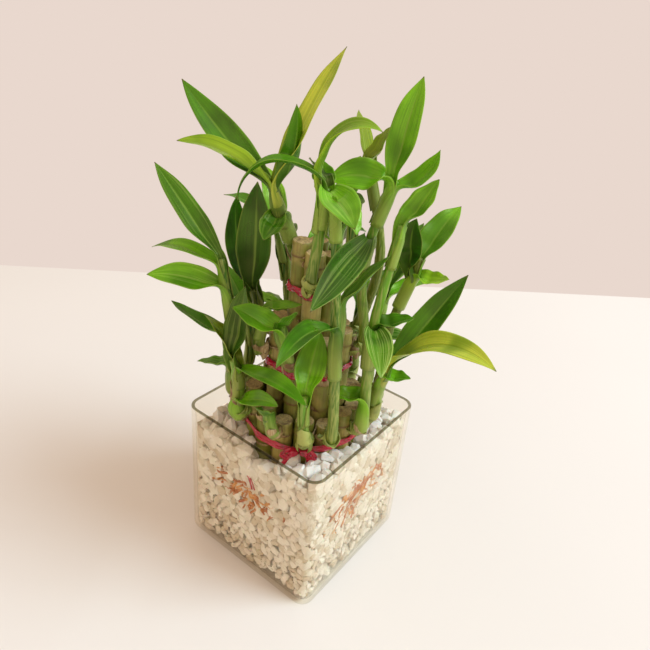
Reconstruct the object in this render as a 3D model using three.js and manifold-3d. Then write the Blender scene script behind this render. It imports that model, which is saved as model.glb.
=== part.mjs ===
// Lucky bamboo: three tiers of cane cuttings, tied with red ribbon, that stand among white
// stone chips in a square glass vase. Millimetres, +Z up. The origin is the centre of the
// vase's underside, and the vase's walls face X and Y.

import * as THREE from 'three';
import { mergeVertices } from 'three/addons/utils/BufferGeometryUtils.js';
import Module from 'manifold-3d';

const wasm = await Module();
wasm.setup();

// ---- Driving dimensions ------------------------------------------------------------------

const CLEARANCE = 0.3; // between pieces that touch

const VASE = {
  half: 50, // half of the outer width
  height: 100,
  wall: 2.6,
  base: 3.2,
  corner: 8, // radius of the vertical corners
  foot: 4, // radius of the edge round the underside
};

const GRAVEL = {
  top: 84, // height of the stones round the bundle
  bump: 2.4, // how far a stone stands up or lies low
  relief: 4.2, // how far the side of the bed draws back between stones
  edge: 2, // how far the bed's lower edge is cut back
  well: 38, // radius of the hole that the bundle stands in
  floor: 46, // height of the hole's bottom
  rows: 10, // of points up the side
};

const CANE = { radius: 5.4, scar: 0.25, foot: 58, sides: 8, chamfer: 0.6 };

// Each tier is a ring of canes: its radius, the bearing of its first cane, and its heights.
const TIERS = {
  outer: { count: 16, ring: 30.6, first: -163.5, tops: [108, 112, 110, 114, 109, 111] },
  middle: { count: 8, ring: 19.3, first: -162, tops: [157, 154, 158, 155] },
  inner: { count: 4, ring: 8.2, first: -147, tops: [205, 202, 199, 203] },
};
const SCAR_SPACING = 44; // between the ring scars of a cane

const RIBBON = { width: 3.2, thickness: 1, steps: 32 };
const KNOT = { radius: 2.6, tail: 0.9, length: 9, lift: 2.5 };
const TIES = [
  { name: 'ribbon_foot', tier: 'outer', z: 64 },
  { name: 'ribbon_lower', tier: 'outer', z: 95, knot: -54 },
  { name: 'ribbon_middle', tier: 'middle', z: 136 },
  { name: 'ribbon_top', tier: 'inner', z: 179 },
];

// The mat of roots under the canes, and the strands that reach the glass.
const ROOTS = { mat: 34, low: 46.3, high: 57.6, bevel: 6, strand: 1.1, margin: 2.2 };
// Bearing and height of each strand.
const ROOT_STRANDS = [
  [-112, 55], [-97, 51], [-84, 57], [-70, 53], [-19, 50], [-5, 54], [10, 58], [22, 52],
  [100, 52], [165, 54],
];

const STEM = {
  neck: 1.7, // radius where the shoot leaves its cane
  base: 3.1, // radius at the bend above the neck
  top: 2.1,
  stand: 1.5, // how far the neck's centre stands off the bark
  reach: 4.6, // how far the bend stands out from the neck
  bend: 0.25, // where the bend is, as a share of the stem's length
  sides: 6,
  steps: 6,
};
const BLADE = {
  steps: 5,
  thickness: 0.8,
  petiole: 0.3, // width at the stem, as a share of the full width
  widest: 0.42, // where the leaf is widest
  tip: 0.8, // width of the blunt end
  sink: 1.2, // how far the leaf's root lies inside the stem
  last: 0.985, // the highest place on the stem that carries a leaf
};

// The shoots. Each grows from the cane given by its tier and number: side is the bearing of
// the face that it leaves, from is its height there and top is its tip. bow is how far the
// middle of its stem stands off the straight line to the tip, in X and Y.
// A leaf is [place along the stem 0-1, bearing, rise, length, width, droop, roll], in
// millimetres and degrees: it leaves at its rise, and has turned down by its droop at its tip.
const SHOOTS = [
  { tier: 'outer', cane: 1, side: 175, from: 102, top: [-42, -6, 146], bow: [2, 0],
    leaves: [[1, 165, 45, 42, 13, 30, 0], [0.8, 140, 25, 38, 12, 40, 0]] },
  { tier: 'outer', cane: 2, side: -144, from: 101, top: [-42, -29.5, 189.5], bow: [6, -2],
    leaves: [
      [1, 180, 39, 68, 14.5, 1, -18], [0.95, 193, 29, 51, 12, 60, -10], [0.86, 221, 27, 45, 15.5, 38, -38],
      [0.64, 204, 17, 42, 13, -15, 4], [0.5, 210, 15, 23, 12, 30, 10],
    ] },
  { tier: 'outer', cane: 3, side: -118, from: 102, top: [-23, -38, 138], bow: [1.5, 1],
    leaves: [
      [0.85, -12, 30, 66, 13, 40, 0], [0.85, 185, 75, 38, 13, 60, 20], [1, 90, 80, 44, 17, 5, 0],
      [0.4, -11, 44, 44, 11, 35, 34],
    ] },
  { tier: 'outer', cane: 5, side: -80, from: 103, top: [8, -43, 117], bow: [0, 0.5],
    leaves: [[1, -75, 55, 18, 10, 15, 0]] },
  { tier: 'outer', cane: 6, side: -50, from: 101, top: [24, -32, 134], bow: [-0.5, -0.5],
    leaves: [[1, 115, 60, 37, 17, 30, 5]] },
  { tier: 'outer', cane: 7, side: -35, from: 102, top: [17, -12.5, 237.5], bow: [1.5, 0],
    leaves: [[1, -15, 0, 24, 14, 70, -15], [0.64, -78, 45, 68.5, 14, 72, 1]] },
  { tier: 'outer', cane: 8, side: 8, from: 102, top: [44, 7.5, 224.5], bow: [-3, -3],
    leaves: [
      [1, 62, 56, 30.5, 14, 5, 16], [0.68, 30, 35, 24, 13, 20, 5], [0.68, -50, 25, 46, 14.5, 60, 0],
      [0.45, -148, 33, 23, 14.5, 53, -1],
    ] },
  { tier: 'outer', cane: 9, side: 20, from: 101, top: [47.5, 10, 141.5], bow: [-2, 0],
    leaves: [[1, 65, 52, 69, 16.5, 5, 27], [1, -11, 66, 80, 16.5, 83, 24], [0.86, 10, 35, 18, 12, 30, 5]] },
  { tier: 'outer', cane: 10, side: 39, from: 103, top: [45, 32, 201], bow: [-3.5, -3.5],
    leaves: [
      [0.94, 62, 118, 31.5, 15.5, 50, 37], [0.96, 82, 59, 44, 16, 38, 12], [0.92, -1, 9, 23, 12.5, -16, 16],
      [0.4, 30, 75, 42, 14, 0, 0],
    ] },
  { tier: 'outer', cane: 11, side: 62, from: 102, top: [21, 42, 168], bow: [0, -2.5],
    leaves: [[1, 95, 55, 54, 14, 30, 0], [0.95, 60, 35, 42, 13, 40, 0], [0.7, 30, 15, 30, 13, 30, 0]] },
  { tier: 'outer', cane: 12, side: 84, from: 101, top: [3, 46, 150], bow: [0, -2],
    leaves: [[1, 80, 45, 60, 15, 60, 0], [0.95, 130, 40, 50, 14, 45, 0], [0.7, 70, 10, 40, 13, 30, 0]] },
  { tier: 'outer', cane: 14, side: 129, from: 103, top: [-29, 38, 164], bow: [2, -1.5],
    leaves: [[1, 125, 60, 40, 15, 25, 0], [0.96, 85, 35, 46, 13, 40, 0], [0.7, 120, 15, 46, 14, 40, 0]] },
  { tier: 'outer', cane: 15, side: 152, from: 101, top: [-41, 21, 144], bow: [2, -1],
    leaves: [
      [1, 165, 0, 46, 14, 40, 0], [0.95, 200, 25, 42, 13, 45, 0], [0.7, 150, -10, 40, 13, 30, 0],
    ] },
  { tier: 'middle', cane: 1, side: -175, from: 143, top: [-33.5, -13, 168.5], bow: [1, -0.5],
    leaves: [[0.85, 180, 52, 60, 17, -48, -23], [1, 110, 88, 62, 20, 5, 10]] },
  { tier: 'middle', cane: 2, side: -117, from: 142, top: [-13, -27, 168], bow: [0, 0],
    leaves: [[1, 31, 26, 24, 10.5, 15, 0]] },
  { tier: 'middle', cane: 3, side: -72, from: 142, top: [4, -30, 163], bow: [0, 0],
    leaves: [[0.9, -146, 41, 32, 15.5, 31, -25], [1, -10, 65, 22, 11, 20, 0]] },
  { tier: 'middle', cane: 4, side: -27, from: 143, top: [27, -11, 180], bow: [0, 0],
    leaves: [[1, 40, 60, 38, 12, 10, 0]] },
  { tier: 'middle', cane: 5, side: 40, from: 143, top: [27.5, 22, 240], bow: [-7, -3.5],
    leaves: [
      [1, 94, 82, 53, 15.5, 24, 4], [1, 214, 22, 34.5, 17, 54, -59], [0.79, -74.5, -3.5, 81, 15.5, 6, -36],
      [0.96, 44, 14, 34, 12.5, -67, 25],
    ] },
  { tier: 'middle', cane: 6, side: 75, from: 142, top: [8, 28, 242], bow: [12, 0],
    leaves: [[1, 140, 40, 42, 13, 10, 35], [1, 58, 72, 24, 13, 10, 0]] },
  { tier: 'middle', cane: 7, side: 108, from: 143, top: [-9, 31, 212], bow: [0, -1],
    leaves: [
      [1, 110, 55, 44, 14, 40, 0], [0.97, 160, 40, 34, 14, 50, 0], [0.9, 70, 10, 22, 13, 50, 0],
      [0.75, 125, 20, 46, 14, 40, 0],
    ] },
  { tier: 'middle', cane: 8, side: 153, from: 142, top: [-36, 9, 200], bow: [1.5, 0],
    leaves: [
      [1, 150, 60, 42, 14, 35, 0], [0.97, 190, 45, 44, 14, 60, 0], [0.85, 120, 35, 30, 13, 50, 0],
    ] },
  { tier: 'inner', cane: 2, side: -60, from: 185, top: [10.5, -11.5, 238], bow: [0.5, 0],
    leaves: [
      [1, 216, 54, 60, 10, 150, 0], [1, 17, 111, 52.5, 12.5, 139, 23], [1, 160, 55, 22, 10, 55, 35],
      [1, -34, 9, 44, 17, 31, 18], [0.95, 139, 47, 20, 12, 13, -11],
    ] },
  { tier: 'inner', cane: 3, side: 33, from: 184, top: [14, 9, 222], bow: [-0.5, 0],
    leaves: [[1, 125, 30, 20, 11, 20, 0]] },
  { tier: 'inner', cane: 4, side: -160, from: 184, top: [-16, -19, 231.5], bow: [-1, 0],
    leaves: [
      [0.97, 185.5, 32, 76, 16.5, -10, -35], [1, 207, 47, 57, 12, 60, 57], [0.98, 51, 70.5, 75, 14.5, 12, 22],
      [0.95, 18, 62, 46.5, 12, -36, -33], [0.78, -69, 1, 25, 13, 34, -8],
    ] },
];

// ---- Geometry helpers --------------------------------------------------------------------

const radians = (degrees) => (degrees * Math.PI) / 180;

// The level direction at this many degrees from +X towards +Y.
function bearing(degrees) {
  return new THREE.Vector3(Math.cos(radians(degrees)), Math.sin(radians(degrees)), 0);
}

// A repeatable stream of numbers between 0 and 1.
function randomStream(seed) {
  let state = seed;
  return () => {
    state = (state * 1664525 + 1013904223) % 4294967296;
    return state / 4294967296;
  };
}

// A geometry from its points and triangles, turned so that its faces point out.
function geometryFrom(points, triangles) {
  let volume = 0;
  for (const [a, b, c] of triangles) {
    volume += points[a].dot(points[b].clone().cross(points[c]));
  }
  const ordered = volume < 0 ? triangles.map(([a, b, c]) => [a, c, b]) : triangles;
  const coordinates = points.flatMap((p) => [p.x, p.y, p.z]);
  const geometry = new THREE.BufferGeometry();
  geometry.setAttribute('position', new THREE.Float32BufferAttribute(coordinates, 3));
  geometry.setIndex(ordered.flat());
  return geometry;
}

// A closed skin over rings of the same number of points, closed by a pole at either end.
function skinOverRings(startPole, rings, endPole) {
  const count = rings[0].length;
  const points = [startPole, ...rings.flat(), endPole];
  const last = points.length - 1;
  const triangles = [];
  for (let i = 0; i < count; i += 1) {
    const next = (i + 1) % count;
    triangles.push([0, 1 + next, 1 + i]);
    for (let ring = 0; ring + 1 < rings.length; ring += 1) {
      const low = 1 + ring * count;
      const high = low + count;
      triangles.push([low + i, low + next, high + next], [low + i, high + next, high + i]);
    }
    const top = 1 + (rings.length - 1) * count;
    triangles.push([top + i, top + next, last]);
  }
  return geometryFrom(points, triangles);
}

// A solid for joining and cutting, from a closed geometry, and a geometry from a solid.
function solidOf(geometry) {
  const bare = geometry.clone();
  bare.deleteAttribute('normal');
  bare.deleteAttribute('uv');
  const merged = mergeVertices(bare, 1e-4);
  return new wasm.Manifold(new wasm.Mesh({
    numProp: 3,
    vertProperties: new Float32Array(merged.attributes.position.array),
    triVerts: new Uint32Array(merged.index.array),
  }));
}

function geometryOf(solid) {
  const mesh = solid.getMesh();
  const coordinates = new Float32Array(mesh.vertProperties);
  const geometry = new THREE.BufferGeometry();
  geometry.setAttribute('position', new THREE.BufferAttribute(coordinates, 3));
  geometry.setIndex(new THREE.BufferAttribute(new Uint32Array(mesh.triVerts), 1));
  return geometry;
}

// One solid of several closed geometries that overlap.
function joined(geometries) {
  return geometries.map(solidOf).reduce((whole, piece) => whole.add(piece));
}

// A profile of [radius, height] pairs turned about the Z axis.
function latheOf(profile, segments) {
  const points = profile.map(([radius, height]) => new THREE.Vector2(radius, height));
  return new THREE.LatheGeometry(points, segments).rotateX(Math.PI / 2);
}

// A round rod along a curve, flat at both ends. radiusAt gives its radius at a share of the way.
function rodAlong(curve, radiusAt, sides, steps) {
  const rings = [];
  for (let step = 0; step <= steps; step += 1) {
    const t = step / steps;
    const along = curve.getTangent(t);
    const across = new THREE.Vector3(0, 1, 0).cross(along);
    if (across.length() < 0.3) across.set(0, 0, 1).cross(along);
    across.normalize();
    const upward = along.clone().cross(across);
    const centre = curve.getPoint(t);
    rings.push(Array.from({ length: sides }, (_, i) => {
      const turn = (2 * Math.PI * i) / sides;
      return centre.clone()
        .addScaledVector(across, radiusAt(t) * Math.cos(turn))
        .addScaledVector(upward, radiusAt(t) * Math.sin(turn));
    }));
  }
  return skinOverRings(curve.getPoint(0), rings, curve.getPoint(1));
}

// ---- The vase ----------------------------------------------------------------------------

// The points of a square with round corners, at one height: each quarter turn has its corner's
// arc and then the straight side that follows it, cut into sideSteps.
function roundedSquare(half, corner, z, cornerSteps = 5, sideSteps = 1) {
  const points = [];
  const centre = half - corner;
  for (let quarter = 0; quarter < 4; quarter += 1) {
    const axis = new THREE.Vector3(0, 0, 1);
    const add = (x, y) => {
      points.push(new THREE.Vector3(x, y, z).applyAxisAngle(axis, radians(90 * quarter)));
    };
    for (let step = 0; step <= cornerSteps; step += 1) {
      const turn = radians((90 * step) / cornerSteps);
      add(centre + corner * Math.cos(turn), centre + corner * Math.sin(turn));
    }
    for (let step = 1; step < sideSteps; step += 1) {
      add(centre * (1 - (2 * step) / sideSteps), half);
    }
  }
  return points;
}

// One skin: up the outside, over the round rim and down the inside to the thick base.
function vaseGeometry() {
  const { half, height, wall, base, corner, foot } = VASE;
  const rim = wall / 2;
  const inner = half - wall;
  const innerCorner = corner - wall;
  const rings = [];
  for (const turn of [0, 30, 60, 90]) {
    const inset = foot * (1 - Math.sin(radians(turn)));
    const z = foot * (1 - Math.cos(radians(turn)));
    rings.push(roundedSquare(half - inset, corner - inset * 0.8, z));
  }
  for (const turn of [0, 60, 120, 180]) {
    const inset = rim * (1 - Math.cos(radians(turn)));
    const z = height - rim + rim * Math.sin(radians(turn));
    rings.push(roundedSquare(half - inset, corner - inset, z));
  }
  rings.push(roundedSquare(inner, innerCorner, base + foot / 2));
  rings.push(roundedSquare(inner - foot / 2, innerCorner - foot / 4, base));
  return skinOverRings(new THREE.Vector3(0, 0, 0), rings, new THREE.Vector3(0, 0, base));
}

// ---- The stone chips ---------------------------------------------------------------------

// The bed is the inside of the vase with a well for the bundle. On its side every other point is
// drawn back between the stones, and on its top the points are raised and sunk at random, so that
// every facet reads as the face of a stone.
function gravelSolid() {
  const { top, bump, relief, edge, well, floor, rows } = GRAVEL;
  const random = randomStream(11);
  const half = VASE.half - VASE.wall - CLEARANCE;
  const corner = VASE.corner - VASE.wall;
  const low = VASE.base + CLEARANCE;
  const outlineAt = (inset, z) => roundedSquare(half - inset, corner - inset / 2, z, 2, 12);
  const stonyRing = (z, row) => outlineAt(0, z).map((p, column) => {
    const between = (row + column) % 2 === 1 ? 0.7 : 0;
    const share = 1 - (relief * (between + 0.3 * random())) / half;
    return new THREE.Vector3(p.x * share, p.y * share, p.z);
  });
  const rings = [outlineAt(edge, low)];
  for (let row = 0; row <= rows; row += 1) {
    rings.push(stonyRing(low + edge + ((top - low - 2 * edge) * row) / rows, row));
  }
  const outline = outlineAt(0, top);
  const onCircle = (point, z) => new THREE.Vector3(point.x, point.y, 0).setLength(well).setZ(z);
  for (const inward of [0.2, 0.5, 0.8]) {
    rings.push(outline.map((p) => {
      const z = top + bump * (2 * random() - 1);
      return p.clone().lerp(onCircle(p, z), inward).setZ(z);
    }));
  }
  rings.push(outline.map((p) => onCircle(p, top)), outline.map((p) => onCircle(p, floor)));
  const bottom = new THREE.Vector3(0, 0, low);
  return solidOf(skinOverRings(bottom, rings, new THREE.Vector3(0, 0, floor)));
}

// ---- The canes ---------------------------------------------------------------------------

function caneAt(tierName, number) {
  const tier = TIERS[tierName];
  const turn = tier.first + ((number - 1) * 360) / tier.count;
  return {
    centre: bearing(turn).multiplyScalar(tier.ring),
    turn,
    top: tier.tops[(number - 1) % tier.tops.length],
  };
}

// A straight cutting with the ring scars of its fallen leaves, sawn flat at both ends.
function caneGeometry(tierName, number) {
  const { radius, scar, foot, sides, chamfer } = CANE;
  const { centre, turn, top } = caneAt(tierName, number);
  const profile = [[0, foot], [radius, foot]];
  const firstScar = foot + 12 + ((number * 7) % 11);
  for (let z = firstScar; z <= top - 6; z += SCAR_SPACING) {
    profile.push([radius, z - 1], [radius + scar, z], [radius, z + 1]);
  }
  profile.push([radius, top - chamfer], [radius - chamfer, top], [0, top]);
  const geometry = latheOf(profile, sides);
  geometry.rotateZ(radians(turn));
  geometry.translate(centre.x, centre.y, 0);
  return geometry;
}

// ---- The shoots --------------------------------------------------------------------------

// The line of a stem: out of the cane's bark, round a short bend and up to its tip.
function shootCurve(shoot) {
  const outward = bearing(shoot.side);
  const neck = caneAt(shoot.tier, shoot.cane).centre
    .addScaledVector(outward, CANE.radius + STEM.stand)
    .setZ(shoot.from);
  const bend = neck.clone().addScaledVector(outward, STEM.reach).setZ(shoot.from + STEM.reach);
  const tip = new THREE.Vector3(...shoot.top);
  const middle = bend.clone().lerp(tip, 0.5).add(new THREE.Vector3(...shoot.bow, 0));
  return new THREE.CatmullRomCurve3([neck, bend, middle, tip]);
}

// Half of a leaf's width at s, as a share of its widest: a narrow foot that swells along a
// sine, then a cosine that draws in to the tip.
function leafOutline(s) {
  const { petiole, widest } = BLADE;
  if (s < widest) return petiole + (1 - petiole) * Math.sin((Math.PI / 2) * (s / widest)) ** 1.3;
  return Math.cos((Math.PI / 2) * ((s - widest) / (1 - widest)) ** 1.25) ** 0.9;
}

// One blade: its spine leaves the stem at its rise and turns down steadily. Each cross-section
// is four points: the left edge above and below, then the right edge below and above.
function leafGeometry(root, [, azimuth, rise, length, width, droop, roll]) {
  const { steps, thickness, tip } = BLADE;
  const fine = 4; // short stretches of spine between two cross-sections
  const stretch = length / steps / fine;
  const outward = bearing(azimuth);
  const level = bearing(azimuth + 90);
  const slopeAt = (s) => radians(rise - droop * s ** 1.25);
  const spine = root.clone();
  const rings = [];
  for (let step = 0; step <= steps; step += 1) {
    const s = step / steps;
    const along = outward.clone().multiplyScalar(Math.cos(slopeAt(s))).setZ(Math.sin(slopeAt(s)));
    const across = level.clone().applyAxisAngle(along, radians(roll));
    const up = along.clone().cross(across);
    const half = Math.max(tip, width * leafOutline(s)) / 2;
    const corner = (side, face) => spine.clone()
      .addScaledVector(across, side * half)
      .addScaledVector(up, (face * thickness) / 2);
    rings.push([corner(1, 1), corner(1, -1), corner(-1, -1), corner(-1, 1)]);
    for (let part = 0; part < fine; part += 1) {
      const slope = slopeAt((step + (part + 0.5) / fine) / steps);
      spine.addScaledVector(outward, stretch * Math.cos(slope));
      spine.z += stretch * Math.sin(slope);
    }
  }
  return bladeOverRings(rings);
}

// The skin over such cross-sections. Both faces are split along the same diagonals.
function bladeOverRings(rings) {
  const triangles = [];
  for (let near = 0; near < (rings.length - 1) * 4; near += 4) {
    const far = near + 4;
    triangles.push([near + 3, near, far], [near + 3, far, far + 3]);
    triangles.push([near + 2, far + 1, near + 1], [near + 2, far + 2, far + 1]);
    triangles.push([near, near + 1, far + 1], [near, far + 1, far]);
    triangles.push([near + 2, near + 3, far + 3], [near + 2, far + 3, far + 2]);
  }
  const last = (rings.length - 1) * 4;
  triangles.push([0, 3, 2], [0, 2, 1], [last, last + 1, last + 2], [last, last + 2, last + 3]);
  return geometryFrom(rings.flat(), triangles);
}

// The stem swells from its neck to the bend, and then thins steadily to its tip.
function stemRadius(t) {
  const { neck, base, top, bend } = STEM;
  if (t < bend) return neck + (base - neck) * (t / bend);
  return base + (top - base) * ((t - bend) / (1 - bend));
}

function shootSolid(shoot) {
  const curve = shootCurve(shoot);
  const stem = rodAlong(curve, stemRadius, STEM.sides, STEM.steps);
  const leaves = shoot.leaves.map((leaf) => {
    const [place, azimuth] = leaf;
    const root = curve.getPoint(Math.min(place, BLADE.last));
    return leafGeometry(root.addScaledVector(bearing(azimuth), -BLADE.sink), leaf);
  });
  return joined([stem, ...leaves]);
}

// ---- The ribbons -------------------------------------------------------------------------

// A band round one tier. A tie with a knot also has its knob and two short tails.
function ribbonSolid({ tier, z, knot }) {
  const { width, thickness, steps } = RIBBON;
  const inner = TIERS[tier].ring + CANE.radius + CANE.scar + CLEARANCE;
  const outer = inner + thickness;
  const low = z - width / 2;
  const high = z + width / 2;
  const band = latheOf([[inner, low], [outer, low], [outer, high], [inner, high], [inner, low]], steps);
  if (knot === undefined) return solidOf(band);
  const outward = bearing(knot);
  const centre = outward.clone().multiplyScalar(outer + 1).setZ(z);
  const knob = new THREE.SphereGeometry(KNOT.radius, 8, 6);
  knob.translate(centre.x, centre.y, centre.z);
  const tails = [-1, 1].map((side) => {
    const along = bearing(knot + 90 * side);
    const lifted = centre.clone().addScaledVector(outward, KNOT.lift);
    const bend = lifted.clone().addScaledVector(along, KNOT.length / 2).setZ(z + 1);
    const end = lifted.addScaledVector(along, KNOT.length).setZ(z - KNOT.lift);
    return rodAlong(new THREE.QuadraticBezierCurve3(centre, bend, end), () => KNOT.tail, 6, 4);
  });
  return joined([band, knob, ...tails]);
}

// ---- The roots ---------------------------------------------------------------------------

// A strand leaves the mat under the canes and ends just short of the glass. With a margin
// added all round it is the channel that it lies in.
function rootStrand([azimuth, height], margin) {
  const { mat, high, bevel, strand } = ROOTS;
  const outward = bearing(azimuth);
  const toWall = VASE.half - VASE.wall - ROOTS.margin;
  const reach = toWall / Math.max(Math.abs(outward.x), Math.abs(outward.y));
  const start = outward.clone().multiplyScalar(mat - bevel).setZ(Math.min(height, high - 3));
  const bend = outward.clone().multiplyScalar((mat + reach) / 2).setZ(height + 1);
  const end = outward.clone().multiplyScalar(reach + margin).setZ(height - 4);
  const curve = new THREE.QuadraticBezierCurve3(start, bend, end);
  return rodAlong(curve, () => strand + margin, 5, 3);
}

function rootsSolid() {
  const { mat, low, high, bevel } = ROOTS;
  const middle = (low + high) / 2;
  const profile = [[0, low], [mat - bevel, low], [mat, middle], [mat - bevel / 2, high], [0, high]];
  return joined([latheOf(profile, 20), ...ROOT_STRANDS.map((strand) => rootStrand(strand, 0))]);
}

function gravelAroundRoots() {
  const channels = ROOT_STRANDS.map((strand) => rootStrand(strand, CLEARANCE + 0.5));
  return channels.map(solidOf).reduce((rest, channel) => rest.subtract(channel), gravelSolid());
}

// ---- The object --------------------------------------------------------------------------

const finish = (color, roughness) => new THREE.MeshStandardMaterial({ color, roughness, metalness: 0 });
const GLASS = finish('#cfd6cf', 0.05);
const STONE = finish('#e9e4da', 0.75);
const CANE_BARK = finish('#8f9a4a', 0.55);
const LEAF = finish('#4f8f23', 0.4);
const SATIN = finish('#b5123a', 0.35);
const ROOT = finish('#a8642f', 0.8);

const plant = new THREE.Group();

function addPiece(name, geometry, material) {
  const mesh = new THREE.Mesh(geometry, material.clone());
  mesh.name = name;
  plant.add(mesh);
}

addPiece('vase', vaseGeometry(), GLASS);
addPiece('gravel', geometryOf(gravelAroundRoots()), STONE);
addPiece('roots', geometryOf(rootsSolid()), ROOT);

for (const [tier, { count }] of Object.entries(TIERS)) {
  for (let number = 1; number <= count; number += 1) {
    addPiece(`cane_${tier}_${number}`, caneGeometry(tier, number), CANE_BARK);
  }
}
for (const shoot of SHOOTS) {
  addPiece(`shoot_${shoot.tier}_${shoot.cane}`, geometryOf(shootSolid(shoot)), LEAF);
}
for (const tie of TIES) {
  addPiece(tie.name, geometryOf(ribbonSolid(tie)), SATIN);
}

export default plant;
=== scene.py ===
import math

import bpy
import numpy as np
from mathutils import Matrix


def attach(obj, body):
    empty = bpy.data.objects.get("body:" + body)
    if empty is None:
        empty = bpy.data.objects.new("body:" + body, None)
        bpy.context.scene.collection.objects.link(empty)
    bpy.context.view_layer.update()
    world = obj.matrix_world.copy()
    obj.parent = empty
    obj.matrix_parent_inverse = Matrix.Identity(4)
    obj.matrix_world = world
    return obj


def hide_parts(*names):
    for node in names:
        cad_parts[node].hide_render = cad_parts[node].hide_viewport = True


bl_info = {
    "name": "Lucky Bamboo in a Glass Vase",
    "version": (1, 0, 0),
    "blender": (4, 5, 0),
    "location": "View3D > Sidebar > Bamboo",
    "description": "Tiers of leafy canes tied with red ribbon, in a square glass vase of white stones",
    "category": "Object",
}

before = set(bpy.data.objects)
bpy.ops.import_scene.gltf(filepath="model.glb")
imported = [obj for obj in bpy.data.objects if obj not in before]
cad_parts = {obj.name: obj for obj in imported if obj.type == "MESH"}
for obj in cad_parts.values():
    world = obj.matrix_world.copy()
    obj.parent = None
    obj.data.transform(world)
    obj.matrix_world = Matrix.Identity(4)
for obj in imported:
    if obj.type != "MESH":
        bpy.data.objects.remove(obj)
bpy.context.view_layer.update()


# ---- Sizes shared with the solids, in millimetres ----------------------------------------

MM = 0.001
TIERS = {  # canes, ring radius, bearing of the first, heights
    "outer": (16, 30.6, -163.5, (108, 112, 110, 114, 109, 111)),
    "middle": (8, 19.3, -162.0, (157, 154, 158, 155)),
    "inner": (4, 8.2, -147.0, (205, 202, 199, 203)),
}
CANE_FOOT = 58.0
CANE_RADIUS = 5.4
TIES = (  # name, tier, height, how much higher it sits on its far left, bearing of the knot
    ("ribbon_foot", "outer", 64.0, 0.0, None),
    ("ribbon_lower", "outer", 95.0, 5.0, -54.0),
    ("ribbon_middle", "middle", 136.0, 0.0, None),
    ("ribbon_top", "inner", 179.0, 0.0, None),
)
ROOT_STRANDS = (  # bearing and height
    (-112, 60), (-97, 60), (-84, 59), (-70, 56), (-22, 52), (-8, 60), (8, 64), (20, 64),
    (100, 52), (165, 54),
)
STEM_STAND = 1.5  # from the bark to the middle of a shoot's neck
STEM_REACH = 4.6  # how far out and up from the neck the first bend lies
LEAF_SINK = 1.2  # how deep a leaf's foot lies in its stem
LEAF_LAST = 0.985  # the last place along a stem that carries a leaf
LEAF_ACROSS = 15  # points across a leaf or a bract
BRACT_STEPS = 14  # points along a bract
TIE_STEPS = 300  # points round a tie

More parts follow.
